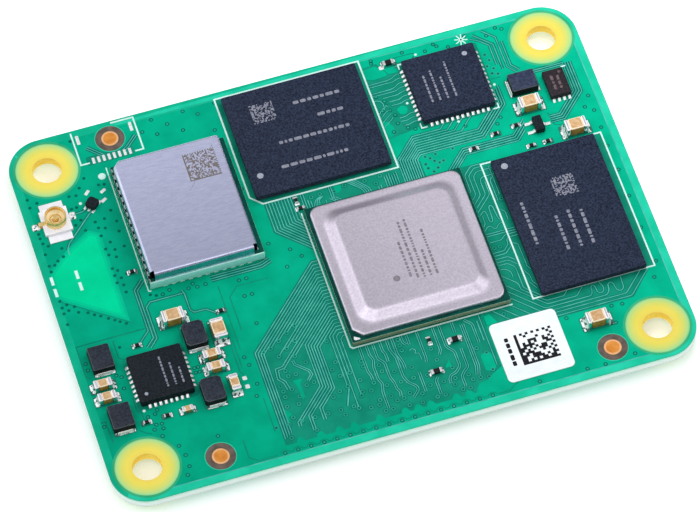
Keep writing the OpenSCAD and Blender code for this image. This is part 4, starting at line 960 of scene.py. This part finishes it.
def fillet(x, y, turn, L, W, H, ext, z0=ZT, climb=0.6):
    """Solder that climbs the two ends of a chip part, with its pad below."""
    c, s = math.cos(math.radians(turn)), math.sin(math.radians(turn))
    for side in (1, -1):
        prof = []
        for i in range(7):
            t = i / 6
            prof.append((L / 2 - 0.03 + (ext + 0.03) * t, 0.025 + climb * H * (1 - t) ** 2.3))
        cols = []
        for j in range(7):
            v = -1 + j / 3
            cols.append((v * (W / 2 + 0.06), 1 - 0.35 * abs(v) ** 3))
        verts, faces = [], []
        for u, h in prof:
            for v, k in cols:
                uu = L / 2 + (u - L / 2) * (1 if u < L / 2 else (0.82 + 0.18 * k))
                verts.append((uu * side, v, z0 + h * k))
        n = len(verts)
        for u, h in prof:
            for v, k in cols:
                uu = L / 2 + (u - L / 2) * (1 if u < L / 2 else (0.82 + 0.18 * k))
                verts.append((uu * side, v, z0 - 0.012))
        R, Cn = len(prof), len(cols)
        for i in range(R - 1):
            for j in range(Cn - 1):
                a = i * Cn + j
                faces += [(a, a + 1, a + Cn + 1, a + Cn), (n + a, n + a + Cn, n + a + Cn + 1, n + a + 1)]
        for i in range(R - 1):
            for j in (0, Cn - 1):
                a = i * Cn + j
                faces.append((a, a + Cn, n + a + Cn, n + a))
        for j in range(Cn - 1):
            for i in (0, R - 1):
                a = i * Cn + j
                faces.append((a, a + 1, n + a + 1, n + a))
        verts = [(x + px * c - py * s, y + px * s + py * c, pz) for px, py, pz in verts]
        joints.add(verts, faces)


for x, y, t in BULK:
    fillet(x, y, t, 2.0, 1.25, 1.2, 0.42)
for x, y, t in INPUT:
    fillet(x, y, t, 1.65, 0.85, 0.85, 0.36)
fillet(-18.9, -12.05, 0, 1.0, 0.55, 0.5, 0.26)
for x, y, t in RES:
    fillet(x, y, t, 1.0, 0.5, 0.36, 0.2, climb=0.75)
for x, y, t in TINY:
    fillet(x, y, t, 0.62, 0.32, 0.26, 0.16, climb=0.75)
for x, y, t in COILS:
    fillet(x, y, t, 2.5, 1.75, 1.0, 0.2, climb=0.35)
joints.build("board_solder_joints", [M_JOINT_GLINTS], smooth=60)

# ------------------------------------------------------------------ marks that are rules, not lettering
def cells(piece, x0, y0, x1, y1, nx, ny, seed, z0, z1, mat=0, border=False, fill=0.5):
    """A generic code field: random runs of cells on a grid."""
    r = random.Random(seed)
    cw, ch = (x1 - x0) / nx, (y1 - y0) / ny
    for j in range(ny):
        i = 0
        row = [r.random() < fill for _ in range(nx)]
        if border:
            row[0] = True
            if j == 0:
                row = [True] * nx
            if j == ny - 1:
                row = [i % 2 == 0 for i in range(nx)]
            row[-1] = j % 2 == 0
        while i < nx:
            if row[i]:
                k = i
                while k + 1 < nx and row[k + 1]:
                    k += 1
                a, b, c, d = x0 + i * cw, x0 + (k + 1) * cw, y0 + j * ch, y0 + (j + 1) * ch
                piece.loft([ring3([(a, c), (b, c), (b, d), (a, d)], z0), ring3([(a, c), (b, c), (b, d), (a, d)], z1)], mat)
                i = k + 1
            else:
                i += 1


def bars(piece, x, y, length, height, seed, z0, z1, mat=0, upright=False):
    """A row of plain dashes of uneven length."""
    r = random.Random(seed)
    t = 0.0
    while t < length - 0.2:
        n = min(r.choice((0.45, 0.7, 1.0, 1.3)) * height * 1.6, length - t)
        w, h = (n, height) if not upright else (height, n)
        cx, cy = (x + t + n / 2, y) if not upright else (x, y + t + n / 2)
        piece.rplate(cx, cy, w, h, height * 0.3, z0, z1, 0, 0, mat, 2)
        t += n + height * 0.45


# ------------------------------------------------------------------ processor
def smooth_step(t):
    return t * t * (3 - 2 * t)


lid = Piece()
prof = [(7.12, 0.84, 2.80), (7.19, 0.89, 2.83), (7.2, 0.9, 2.88), (7.2, 0.9, 3.10), (7.185, 0.89, 3.16), (7.14, 0.87, 3.21), (7.07, 0.84, 3.24), (6.98, 0.82, 3.25), (6.7, 1.2, 3.25)]
# the wall rises from a round foot, straight at 36 degrees, and rounds over into the plateau
for i in range(7):
    a = math.radians(6 * i)
    prof.append((6.54 - 0.8 * math.sin(a), 1.4 - 0.05 * i / 6, 3.25 + 0.8 * (1 - math.cos(a))))
prof += [(5.82, 1.25, 3.58)]
for i in range(9):
    a = math.radians(36 * (1 - i / 8))
    prof.append((5.15 + 0.72 * math.sin(a), 1.2 - 0.35 * i / 8, 3.9 - 0.72 * (1 - math.cos(a))))
prof += [(4.2, 0.65, 3.9), (2.4, 0.6, 3.9)]


def lid_ring(h, r, z, cx=4.6, cy=-2.85, n=8):
    """One level of the lid: round corners, with the front left one cut off on the flange."""
    pts = rrect(cx, cy, 2 * h, 2 * h, r, n)
    k = min(max((h - 6.45) / 0.5, 0.0), 1.0)
    for i in range(n + 1):
        t, c = i / n, 0.86
        x, y = cx - h + c * t, cy - h + c * (1 - t)
        px, py = pts[2 * (n + 1) + i]
        pts[2 * (n + 1) + i] = (px + (x - px) * k, py + (y - py) * k)
    return ring3(pts, z)


lid.loft([lid_ring(h, r, z) for h, r, z in prof])
# painted light: the flange faces take the separate copy of the lid's nickel
for k, f in enumerate(lid.f):
    if max(lid.v[i][2] for i in f) < 3.2545:
        lid.m[k] = 2
lid.lathe(2.75, -5.7, [(0, 3.895), (0.32, 3.895), (0.32, 3.9025), (0.24, 3.9035), (0.2, 3.9025), (0, 3.9025)], 28, mats=[1, 1, 1, 1, 1])
for k, (x, y, n) in enumerate(((4.05, -5.9, 3.9), (4.65, -6.2, 6.4), (5.25, -6.3, 6.6), (5.85, -6.3, 2.9), (6.45, -6.3, 5.3))):
    bars(lid, x, y, n, 0.24, 40 + k, 3.898, 3.9025, 1, True)
lid.build("soc_lid_fine", [M_LID, M_LIDMARK, M_FLANGE_PAINTED_LIGHT], ("soc_lid",), smooth=24)
corner = Piece()
corner.loft([ring3([(-2.6, -9.72), (-2.68, -10.02), (-2.55, -10.14), (-2.1, -10.16), (-2.14, -10.02)], z) for z in (2.795, 2.815)])
corner.build("soc_corner_mark", [M_SOLDER], smooth=0)


# painted light: the top takes the dark package mask, darkened also for the shade under the lid or can; the left side
# takes the same dark green as painted shade; the eased top edges take a lighter painted highlight
def sub_pick(f):
    return 1 if f.normal.z > 0.9 else 2 if f.normal.z > 0.2 else 1 if f.normal.x < -0.6 else 0


fine("soc_substrate", [M_SUB, M_SUBTOP_AND_SHADE, M_SUB_EDGE_HIGHLIGHT], 0.05, pick=sub_pick)

# ------------------------------------------------------------------ memories and flat packages
def package(name, node, cx, cy, w, h, z0, z1, mat, slot, marks):
    p = Piece()
    prof = [(0.06, z0), (0.0, z0 + 0.05), (0.0, z1 - 0.07), (0.02, z1 - 0.025), (0.07, z1)]
    p.loft([ring3(rrect(cx, cy, w - 2 * i, h - 2 * i, 0.12, 3), z) for i, z in prof])
    marks(p, z1)
    return p.build(name, [mat, M_MARK, M_MARK_DIM], (node,), smooth=30)


def flash_marks(p, z):
    dx, dy = -0.15, -0.51
    p.lathe(-5.45 + dx, 9.85 + dy, [(0, z - 0.02), (0.3, z - 0.02), (0.3, z + 0.002), (0.22, z + 0.003), (0, z + 0.002)], 24, 1)
    cells(p, -4.3 + dx, 15.4 + dy, -2.1 + dx, 17.5 + dy, 18, 18, 3, z - 0.01, z + 0.003, 2)
    for k, (x, y, n) in enumerate(((-0.25, 16.6, 4.5), (1.55, 14.7, 2.7), (-2.75, 12.75, 7.1), (-3.3, 10.15, 6.6))):
        bars(p, x + dx, y + dy, n, 0.34, 60 + k, z - 0.01, z + 0.003, 2)


def memory_marks(p, z):
    dx, dy = -0.15, -0.51
    p.lathe(16.2 + dx, 3.95 + dy, [(0, z - 0.02), (0.32, z - 0.02), (0.32, z + 0.002), (0.24, z + 0.003), (0, z + 0.002)], 24, 1)
    cells(p, 19.7 + dx, -0.75 + dy, 21.85 + dx, 1.4 + dy, 18, 18, 5, z - 0.01, z + 0.003, 2)
    for k, (x, y, n) in enumerate(((16.4, -5.0, 5.0), (18.95, -6.4, 4.1), (20.2, -6.4, 4.1), (21.35, -6.4, 4.1))):
        bars(p, x + dx, y + dy, n, 0.3, 70 + k, z - 0.01, z + 0.003, 2, True)


def network_marks(p, z):
    p.lathe(16.45, 16.5, [(0, z - 0.02), (0.25, z - 0.02), (0.25, z + 0.002), (0.18, z + 0.003), (0, z + 0.002)], 20, 1)
    for k, (x, n) in enumerate(((12.0, 3.2), (12.75, 3.6), (13.5, 2.6), (14.3, 4.2))):
        bars(p, x, 12.2, n, 0.2, 80 + k, z - 0.01, z + 0.003, 2, True)


def power_marks(p, z):
    p.lathe(-22.05, -9.75, [(0, z - 0.02), (0.17, z - 0.02), (0.17, z + 0.002), (0.12, z + 0.003), (0, z + 0.002)], 18, 1)
    for k, (x, n) in enumerate(((-19.95, 3.4), (-19.2, 2.4), (-18.5, 1.8))):
        bars(p, x, -9.6, n, 0.18, 90 + k, z - 0.01, z + 0.003, 2, True)


package("flash_package_fine", "flash_package", -0.1, 12.92, 13, 11.5, 2.25, 2.85, M_MOULD, "mould_black", flash_marks)
package("memory_package_fine", "memory_package", 20, -3.1, 10, 15, 2.25, 2.85, M_MOULD, "mould_black", memory_marks)
package("network_chip_body_fine", "network_chip_body", 14.05, 14, 7, 7, 2.05, 2.85, M_MOULD, "mould_black", network_marks)
package("power_chip_body_fine", "power_chip_body", -20.25, -8, 5, 5, *[c / MM for c in (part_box("power_chip_body")[0].z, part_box("power_chip_body")[1].z)], M_MOULD2, "mould_black", power_marks)

# ------------------------------------------------------------------ radio module
fine("radio_substrate", [M_RADIO, M_SUBTOP_AND_SHADE, M_RIM_HIGHLIGHT], 0.04, pick=sub_pick)
can = Piece()
CX, CY, CW, CH, C0, C1, CR, CT, CN = -13.3, 7.65, 10.2, 12.9, 3.1, 4.3, 0.3, 0.15, 0.4


def can_ring(i, z, notch=CN):
    """One level of the can, i inside its outline: slits at the front corners, the rear left corner cut off."""
    x0, x1, y0, y1 = CX - CW / 2, CX + CW / 2, CY - CH / 2, CY + CH / 2
    pts = [(x1 - i, y1 - 0.3), (x1 - 0.09 - 0.7 * i, y1 - 0.09 - 0.7 * i), (x1 - 0.3, y1 - i)]
    pts += [(x0 + 0.62, y1 - i), (x0 + 0.31 + 0.6 * i, y1 - 0.31 - 0.6 * i), (x0 + i, y1 - 0.62)]
    pts += [(x0 + i, y0 + notch), (x0 + max(notch, i), y0 + max(notch, i)), (x0 + notch, y0 + i)]
    pts += [(x1 - notch, y0 + i), (x1 - max(notch, i), y0 + max(notch, i)), (x1 - i, y0 + notch)]
    out = []
    for a, b in zip(pts, pts[1:] + pts[:1]):
        n = 10 if math.dist(a, b) > 3 else 1
        out += [(a[0] + (b[0] - a[0]) * k / n, a[1] + (b[1] - a[1]) * k / n) for k in range(n)]
    return ring3(out, z)


levels = [can_ring(0.0, C0)] + [can_ring(0.0, z) for z in (C0 + 0.3, C0 + 0.7)]
for k in range(10):
    a = math.radians(10 * k)
    levels.append(can_ring(CR * (1 - math.cos(a)), C1 - CR + CR * math.sin(a)))
levels.append(can_ring(CR + 0.05, C1))
rim_ring = levels[-1]
for s, rise in ((0.9, 0.004), (0.7, 0.008), (0.45, 0.011), (0.2, 0.012)):
    levels.append([(CX + (x - CX) * s, CY + (y - CY) * s, C1 + rise) for x, y, z in rim_ring])
inner = [can_ring(CT, C0), can_ring(CT, C1 - CR), can_ring(CR, C1 - CT)]
inner.append([(CX + (x - CX) * 0.2, CY + (y - CY) * 0.2, C1 - CT) for x, y, z in inner[-1]])
can.loft(inner[::-1] + levels)
# painted shade: the faces round the slits at the can's front corners are near black
for k, f in enumerate(can.f):
    c = np.mean([can.v[i] for i in f], axis=0)
    if c[1] < CY - CH / 2 + CN + 0.03 and min(abs(c[0] - CX + CW / 2), abs(c[0] - CX - CW / 2)) < CN + 0.03 and c[2] < C1 - 0.004:
        can.m[k] = 2
cells(can, -11.65 - 0.41, 11.15 - 1.39, -8.65 - 0.41, 14.15 - 1.39, 25, 25, 9, C1 - 0.01, C1 + 0.015, 1, True, fill=0.48)
can.build("radio_shield_can_fine", [M_CAN, M_CANMARK, M_SHADE_IN_OPENINGS], ("radio_shield_can",), smooth=40)
foot = Piece()
# painted highlight: a light line along the radio substrate's front edge
foot.strip([(-18.5, 1.16), (-7.7, 1.16)], 0.09, C0 - 0.004, C0 + 0.03, 1, 0.02)
foot.strip([(-18.44, 1.2), (-18.44, 14.0)], 0.05, C0 - 0.004, C0 + 0.04, 0, 0.01)
foot.strip([(CX + CW / 2, 1.6), (CX + CW / 2, 13.7)], 0.1, C0 - 0.004, C0 + 0.07, 0, 0.04)
foot.strip([(-18.0, CY + CH / 2), (-8.6, CY + CH / 2)], 0.1, C0 - 0.004, C0 + 0.07, 0, 0.04)
# painted shade: dark plates in the gaps along the module's left edge
for k in range(15):
    foot.rplate(-18.46, 1.75 + 0.84 * k, 0.12, 0.34, 0.02, C0 - 0.003, C0 + 0.045, 0, 0, 2, 2)
foot.build("radio_can_solder_and_painted_lines", [M_SOLDER, M_RIM_HIGHLIGHT, M_SHADE_IN_OPENINGS], smooth=60)


# ------------------------------------------------------------------ parts with eased edges
for node, mat, width, slot in (
    ("network_chip_terminals", M_SOLDER, 0.05, "solder"), ("power_chip_terminals", M_SOLDER, 0.05, "solder"),
    ("inductor_terminals", M_SOLDER, 0.04, "tin"),
    ("chip_resistor_bodies", M_RES, 0.02, "resistor_black"), ("chip_resistor_ends", M_TIN, 0.04, "tin"),
    ("tiny_resistor_bodies", M_RES, 0.015, "resistor_black"), ("tiny_resistor_ends", M_TIN, 0.03, "tin"),
    ("boot_memory_body", M_MOULD3, 0.07, "mould_black"), ("boot_memory_leads", M_SOLDER, 0.03, "tin"),
    ("transistor_body", M_MOULD2, 0.06, "mould_black"), ("transistor_leads", M_SOLDER, 0.03, "tin"),
    ("radio_switch_body", M_MOULD2, 0.09, "mould_black"), ("radio_switch_lands", M_SOLDER, 0.02, "solder"),
    ("data_label", M_PAPER, 0.02, "label_paper"),
    ("front_connector_housing", M_HOUSING, 0.06, "connector_plastic"), ("rear_connector_housing", M_HOUSING, 0.06, "connector_plastic"),
    ("front_connector_contacts", M_GOLD, 0.02, "gold"), ("rear_connector_contacts", M_GOLD, 0.02, "gold"),
    ("connector_hold_downs", M_TIN, 0.03, "tin"),
    ("decoupling_capacitor_ends", M_TIN, 0.05, "tin"),
    ("crystal_cases", M_CRYSTAL, 0.05, "crystal_ceramic"), ("crystal_lids", M_CAN, 0.05, "can_metal"),
    ("radio_solder_lands", M_SOLDER, 0.02, "solder"),
):
    fine(node, [mat], width)
# painted highlight: the eased top edges of the ends take the white tab finish
for node, width in (("bulk_capacitor_ends", 0.11), ("input_capacitor_ends", 0.09), ("small_capacitor_ends", 0.05)):
    fine(node, [M_TIN, M_TAB_AND_EDGE_GLINT], width, pick=lambda f: 1 if 0.2 < f.normal.z < 0.95 else 0)
# painted light: the tops take the ceramic, the eased top edges a lighter painted highlight, the sides a darker painted
# shade
for node, width in (("bulk_capacitor_bodies", 0.1), ("input_capacitor_bodies", 0.08), ("small_capacitor_body", 0.04), ("decoupling_capacitor_bodies", 0.03)):
    fine(node, [M_CERAMIC, M_CERAMIC_SHADED_SIDE, M_CERAMIC_EDGE_HIGHLIGHT], width, pick=lambda f: 0 if abs(f.normal.z) > 0.95 else 2 if f.normal.z > 0.2 else 1)
coils = Piece()
for k, (x, y, t) in enumerate(COILS):
    r, n = (0.26, 1) if k in (2, 3) else (0.12, 3)
    levels = [(0.03, 2.08), (0.0, 2.12), (0.0, 2.93), (0.02, 2.97), (0.06, 3.0)]
    coils.loft([ring3(rrect(x, y, 2.5 - 2 * i, 2.0 - 2 * i, r, n, t), z) for i, z in levels])
# painted light: the sides take a darker painted shade, the eased top edges a lighter painted highlight; the coil on the
# right has a bluer top
for k, f in enumerate(coils.f):
    lo = min(coils.v[i][2] for i in f)
    coils.m[k] = 1 if lo < 2.92 else 3 if lo < 2.999 else 2 if coils.v[f[0]][0] > 0 else 0
coils.build("inductor_bodies_fine", [M_COIL, M_COIL_SHADED_SIDE, M_COIL_BLUE, M_COIL_EDGE_HIGHLIGHT], ("inductor_bodies",), smooth=35)
for node, mat in (("soc_die", M_SILICON), ("thermal_interface", M_PAD), ("soc_solder_balls", M_SOLDER), ("flash_solder_balls", M_SOLDER), ("memory_solder_balls", M_SOLDER),
                  ("radio_chip", M_MOULD), ("radio_crystal", M_CAN), ("radio_passives", M_CERAMIC)):
    finish_node(node, mat)

boot = Piece()
(bx0, by0, _), (bx1, by1, bz) = [[c / MM for c in p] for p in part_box("boot_memory_body")]
for k, x in enumerate((0.34, 0.62)):
    bars(boot, bx0 + x * (bx1 - bx0), by0 + 0.22 * (by1 - by0), 0.6 * (by1 - by0), 0.26, 110 + k, bz - 0.01, bz + 0.003, 0, True)
boot.lathe(bx1 - 0.45, by1 - 0.45, [(0, bz - 0.02), (0.14, bz - 0.02), (0.14, bz + 0.002), (0.1, bz + 0.003), (0, bz + 0.002)], 16)
boot.build("boot_memory_print", [M_MARK_BROWN], smooth=0)

label = Piece()
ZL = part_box("data_label")[1].z / MM
cells(label, 11.2, -16.9, 14.7, -13.6, 13, 13, 12, ZL - 0.01, ZL + 0.004, 0, True, 0.5)
for k, (y, h) in enumerate(((-16.45, 0.5), (-15.8, 0.6), (-15.1, 0.5), (-14.5, 0.5), (-13.9, 0.42))):
    label.rplate(10.45, y, 0.36, h, 0.1, ZL - 0.01, ZL + 0.004, 0, 0, 0, 2)
label.build("label_print", [M_INK], smooth=0)

# ------------------------------------------------------------------ antenna connector
AX, AY = -24.75, 10.75
def reach(f):
    """How far a face reaches from the connector's axis, and its height."""
    return max(math.hypot(v.co.x / MM - AX, v.co.y / MM - AY) for v in f.verts), f.calc_center_median().z / MM


fine("antenna_connector_base", [M_WHITE], 0.06)
fine("antenna_connector_shell", [M_GOLD, M_TAB_AND_EDGE_GLINT], 0.04, pick=lambda f: 0 if reach(f)[0] < 1.1 and reach(f)[1] > 2.4 else 1)
fine("antenna_connector_pin", [M_GOLD, M_SOLDER], 0.04, pick=lambda f: 0 if f.calc_center_median().x / MM > AX - 1.35 else 1)
bowl = Piece()
b1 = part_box("antenna_connector_base")[1].z / MM
bowl.lathe(AX, AY, [(0.3, b1 - 0.01), (0.84, b1 - 0.01), (0.84, b1 + 0.52), (0.8, b1 + 0.5), (0.7, b1 + 0.36), (0.6, b1 + 0.27), (0.56, b1 + 0.26), (0.5, b1 + 0.26), (0.46, b1 + 0.2), (0.38, b1 + 0.17), (0.3, b1 + 0.165), (0.3, b1 - 0.01)], 32,
           mats=[0, 0, 0, 0, 0, 1, 1, 1, 0, 0, 0])
bowl.rplate(AX - 1.32, AY, 0.62, 0.42, 0.08, b1 - 0.02, b1 + 0.03, 0.012, 0, 1, 3)
bowl.build("antenna_connector_bowl", [M_BOWL, M_GOLD], smooth=35)
feet = Piece()
for x, y, w, h, top in ((AX - 1.87, AY, 0.8, 0.7, 0.19), (AX + 1.62, AY + 0.25, 0.6, 0.8, 0.12)):
    feet.loft([ring3(rrect(x, y, w * k, h * k, 0.24 * min(w, h) * k, 4), ZT + z) for k, z in ((1, -0.012), (1, 0.012), (0.93, 0.3 * top), (0.78, 0.65 * top), (0.55, 0.9 * top), (0.28, top))])
feet.build("antenna_connector_solder", [M_JOINT_GLINTS], smooth=50)

# ------------------------------------------------------------------ underside of the board
low = Piece()
low_cuts = [circle(x, y, 3.13, 48) for x, y in HOLES] + [rrect(-1.6, sy * 17.2, 25.5, 4.4, 0.3, 3) for sy in (-1, 1)] + [rrect(4.6, -2.85, 16.5, 16.5, 0.8, 4), rrect(-12, 4, 4, 3.4, 0.3, 3), rrect(14, 9, 3.4, 4, 0.3, 3)]
low_tracks = []
for k in range(18):
    x = -11.6 + 1.15 * k
    for sy in (-1, 1):
        y0, y1 = sy * 15.4, sy * (12.4 - 0.25 * ((k * 3) % 5))
        low_tracks.append([(x, y0), (x, y1), (x + 0.8 * (1 if k % 2 else -1), y1 - sy * 0.8)])
for p in bundle([(-20, -8), (-20, 4.5), (-15, 9.5), (-2.6, 9.5), (0, 6.9), (0, 6.0)], 5, 0.3) + bundle([(13.5, 0), (18, 0), (21, -3), (21, -11), (18, -14)], 6, 0.3):
    low_tracks.append(p)
for p in low_tracks:
    low_cuts.append(outline(p, 0.34))
low.plate([POUR_EDGE] + low_cuts, lambda C: inside(POUR_EDGE, C) & ~np.any([inside(s, C) for s in low_cuts], axis=0), 3.0 - Z_POUR, 3.0 - (Z_CORE1 - 0.002))
low.build("board_copper_areas_below", [M_POUR], smooth=20)
under = Piece()
for p in low_tracks:
    under.strip(p, 0.12, 3.0 - Z_TRACE, 3.0 - (Z_CORE1 - 0.002), 0, -0.014)
for x, y in [(p[-1][0], p[-1][1]) for p in low_tracks] + [(4.6 + 0.72 * i * 2.9, -2.85 + 0.72 * j * 2.9) for i in range(-3, 4) for j in range(-3, 4) if (i + j) % 2]:
    under.lathe(x, y, [(0, 3.0 - Z_CORE1 + 0.01), (0.22, 3.0 - Z_CORE1 + 0.01), (0.22, 3.0 - Z_TRACE), (0.11, 3.0 - Z_TRACE), (0.08, 3.0 - Z_TRACE + 0.014), (0, 3.0 - Z_TRACE + 0.018)], 12, mats=[0, 0, 0, 1, 1])
under.build("board_tracks_below", [M_TRACE_AND_RIM_LINE, M_DARK], smooth=40)

# ------------------------------------------------------------------ stage, light and camera
floor_me = bpy.data.meshes.new("floor")
R, seg = 1.6, 40
fv = [(R * math.cos(2 * math.pi * i / seg), R * math.sin(2 * math.pi * i / seg), 0.0) for i in range(seg)]
floor_me.from_pydata(fv, [], [tuple(range(seg))])
pale = surface("pale_floor", (0.93, 0.94, 0.94), (0.95, 0.955, 0.955), 6, (0.85, 0.95), spec=0.1)
glow = next(n for n in pale.node_tree.nodes if n.type == "BSDF_PRINCIPLED")
glow.inputs["Emission Color"].default_value = (1.0, 1.0, 1.0, 1.0)
glow.inputs["Emission Strength"].default_value = 0.26
floor_me.materials.append(pale)
floor = bpy.data.objects.new("floor", floor_me)
bpy.context.scene.collection.objects.link(floor)

world = bpy.data.worlds.new("studio")
bpy.context.scene.world = world
world.use_nodes = True
wn = world.node_tree
bg = next(n for n in wn.nodes if n.type == "BACKGROUND")
wtc = wn.nodes.new("ShaderNodeTexCoord")


def lobe(direction, inner, outer, strength):
    """A soft patch of light round a direction of the studio, angles in degrees."""
    d = wn.nodes.new("ShaderNodeVectorMath"); d.operation = "DOT_PRODUCT"
    d.inputs[1].default_value = Vector(direction).normalized()
    wn.links.new(wtc.outputs["Generated"], d.inputs[0])
    r = wn.nodes.new("ShaderNodeMapRange"); r.interpolation_type = "SMOOTHSTEP"
    r.inputs["From Min"].default_value = math.cos(math.radians(outer))
    r.inputs["From Max"].default_value = math.cos(math.radians(inner))
    r.inputs["To Min"].default_value, r.inputs["To Max"].default_value = 0.0, strength
    wn.links.new(d.outputs["Value"], r.inputs["Value"])
    return r.outputs["Result"]


parts = [lobe((0, 0, 1), 8, 100, 0.54), lobe((0.1, -0.5, 0.86), 10, 42, 0.03), lobe((-0.6, 0.0, 0.8), 6, 22, 1.1), lobe((0.8, -0.14, 0.584), 9, 30, 0.8), lobe((-0.78, 0.4, 0.48), 12, 46, 0.76), lobe((0.83, 0.51, 0.24), 8, 40, 0.05)]
total = parts[0]
for p in parts[1:]:
    a = wn.nodes.new("ShaderNodeMath"); a.operation = "ADD"
    wn.links.new(total, a.inputs[0]); wn.links.new(p, a.inputs[1])
    total = a.outputs[0]
wr = wn.nodes.new("ShaderNodeMapRange")
wr.inputs["From Min"].default_value, wr.inputs["From Max"].default_value = 0.0, 3.0
wr.inputs["To Min"].default_value, wr.inputs["To Max"].default_value = 0.13, 3.13
wn.links.new(total, wr.inputs["Value"])
bg.inputs["Color"].default_value = (0.99, 0.99, 1.02, 1)
wn.links.new(wr.outputs["Result"], bg.inputs["Strength"])


def area(name, direction, distance, size, power):
    ld = bpy.data.lights.new(name, "AREA")
    ld.shape = "DISK"
    ld.size = size
    ld.energy = power
    ob = bpy.data.objects.new(name, ld)
    bpy.context.scene.collection.objects.link(ob)
    d = Vector(direction).normalized()
    ob.location = d * distance
    ob.rotation_euler = d.to_track_quat("Z", "Y").to_euler()
    return ob


area("key", (-0.149, -0.509, 0.848), 0.7, 0.54, 0.85)
near = area("fill", (0.04, 0.03, 0.075), 0.09, 0.06, 0.034)
near.rotation_euler = (0, 0, 0)
near.visible_glossy = False

cam_d = bpy.data.cameras.new("camera")
cam_d.sensor_fit = "HORIZONTAL"
cam_d.sensor_width = 36.0
cam_d.lens = 264.7
cam_d.clip_start, cam_d.clip_end = 0.01, 10.0
cam = bpy.data.objects.new("camera", cam_d)
bpy.context.scene.collection.objects.link(cam)
right = Vector((0.95386145, -0.29998494, -0.01254473))
up = Vector((0.26068047, 0.80670706, 0.5303484))
back = Vector((-0.14897661, -0.50914905, 0.84768698))
rot = Matrix((right, up, back)).transposed()
cam.matrix_world = Matrix.Translation((-0.0700544, -0.2396447, 0.3993755)) @ rot.to_4x4()
bpy.context.scene.camera = cam
bpy.context.scene.view_settings.view_transform = "Standard"
bpy.context.scene.view_settings.look = "None"
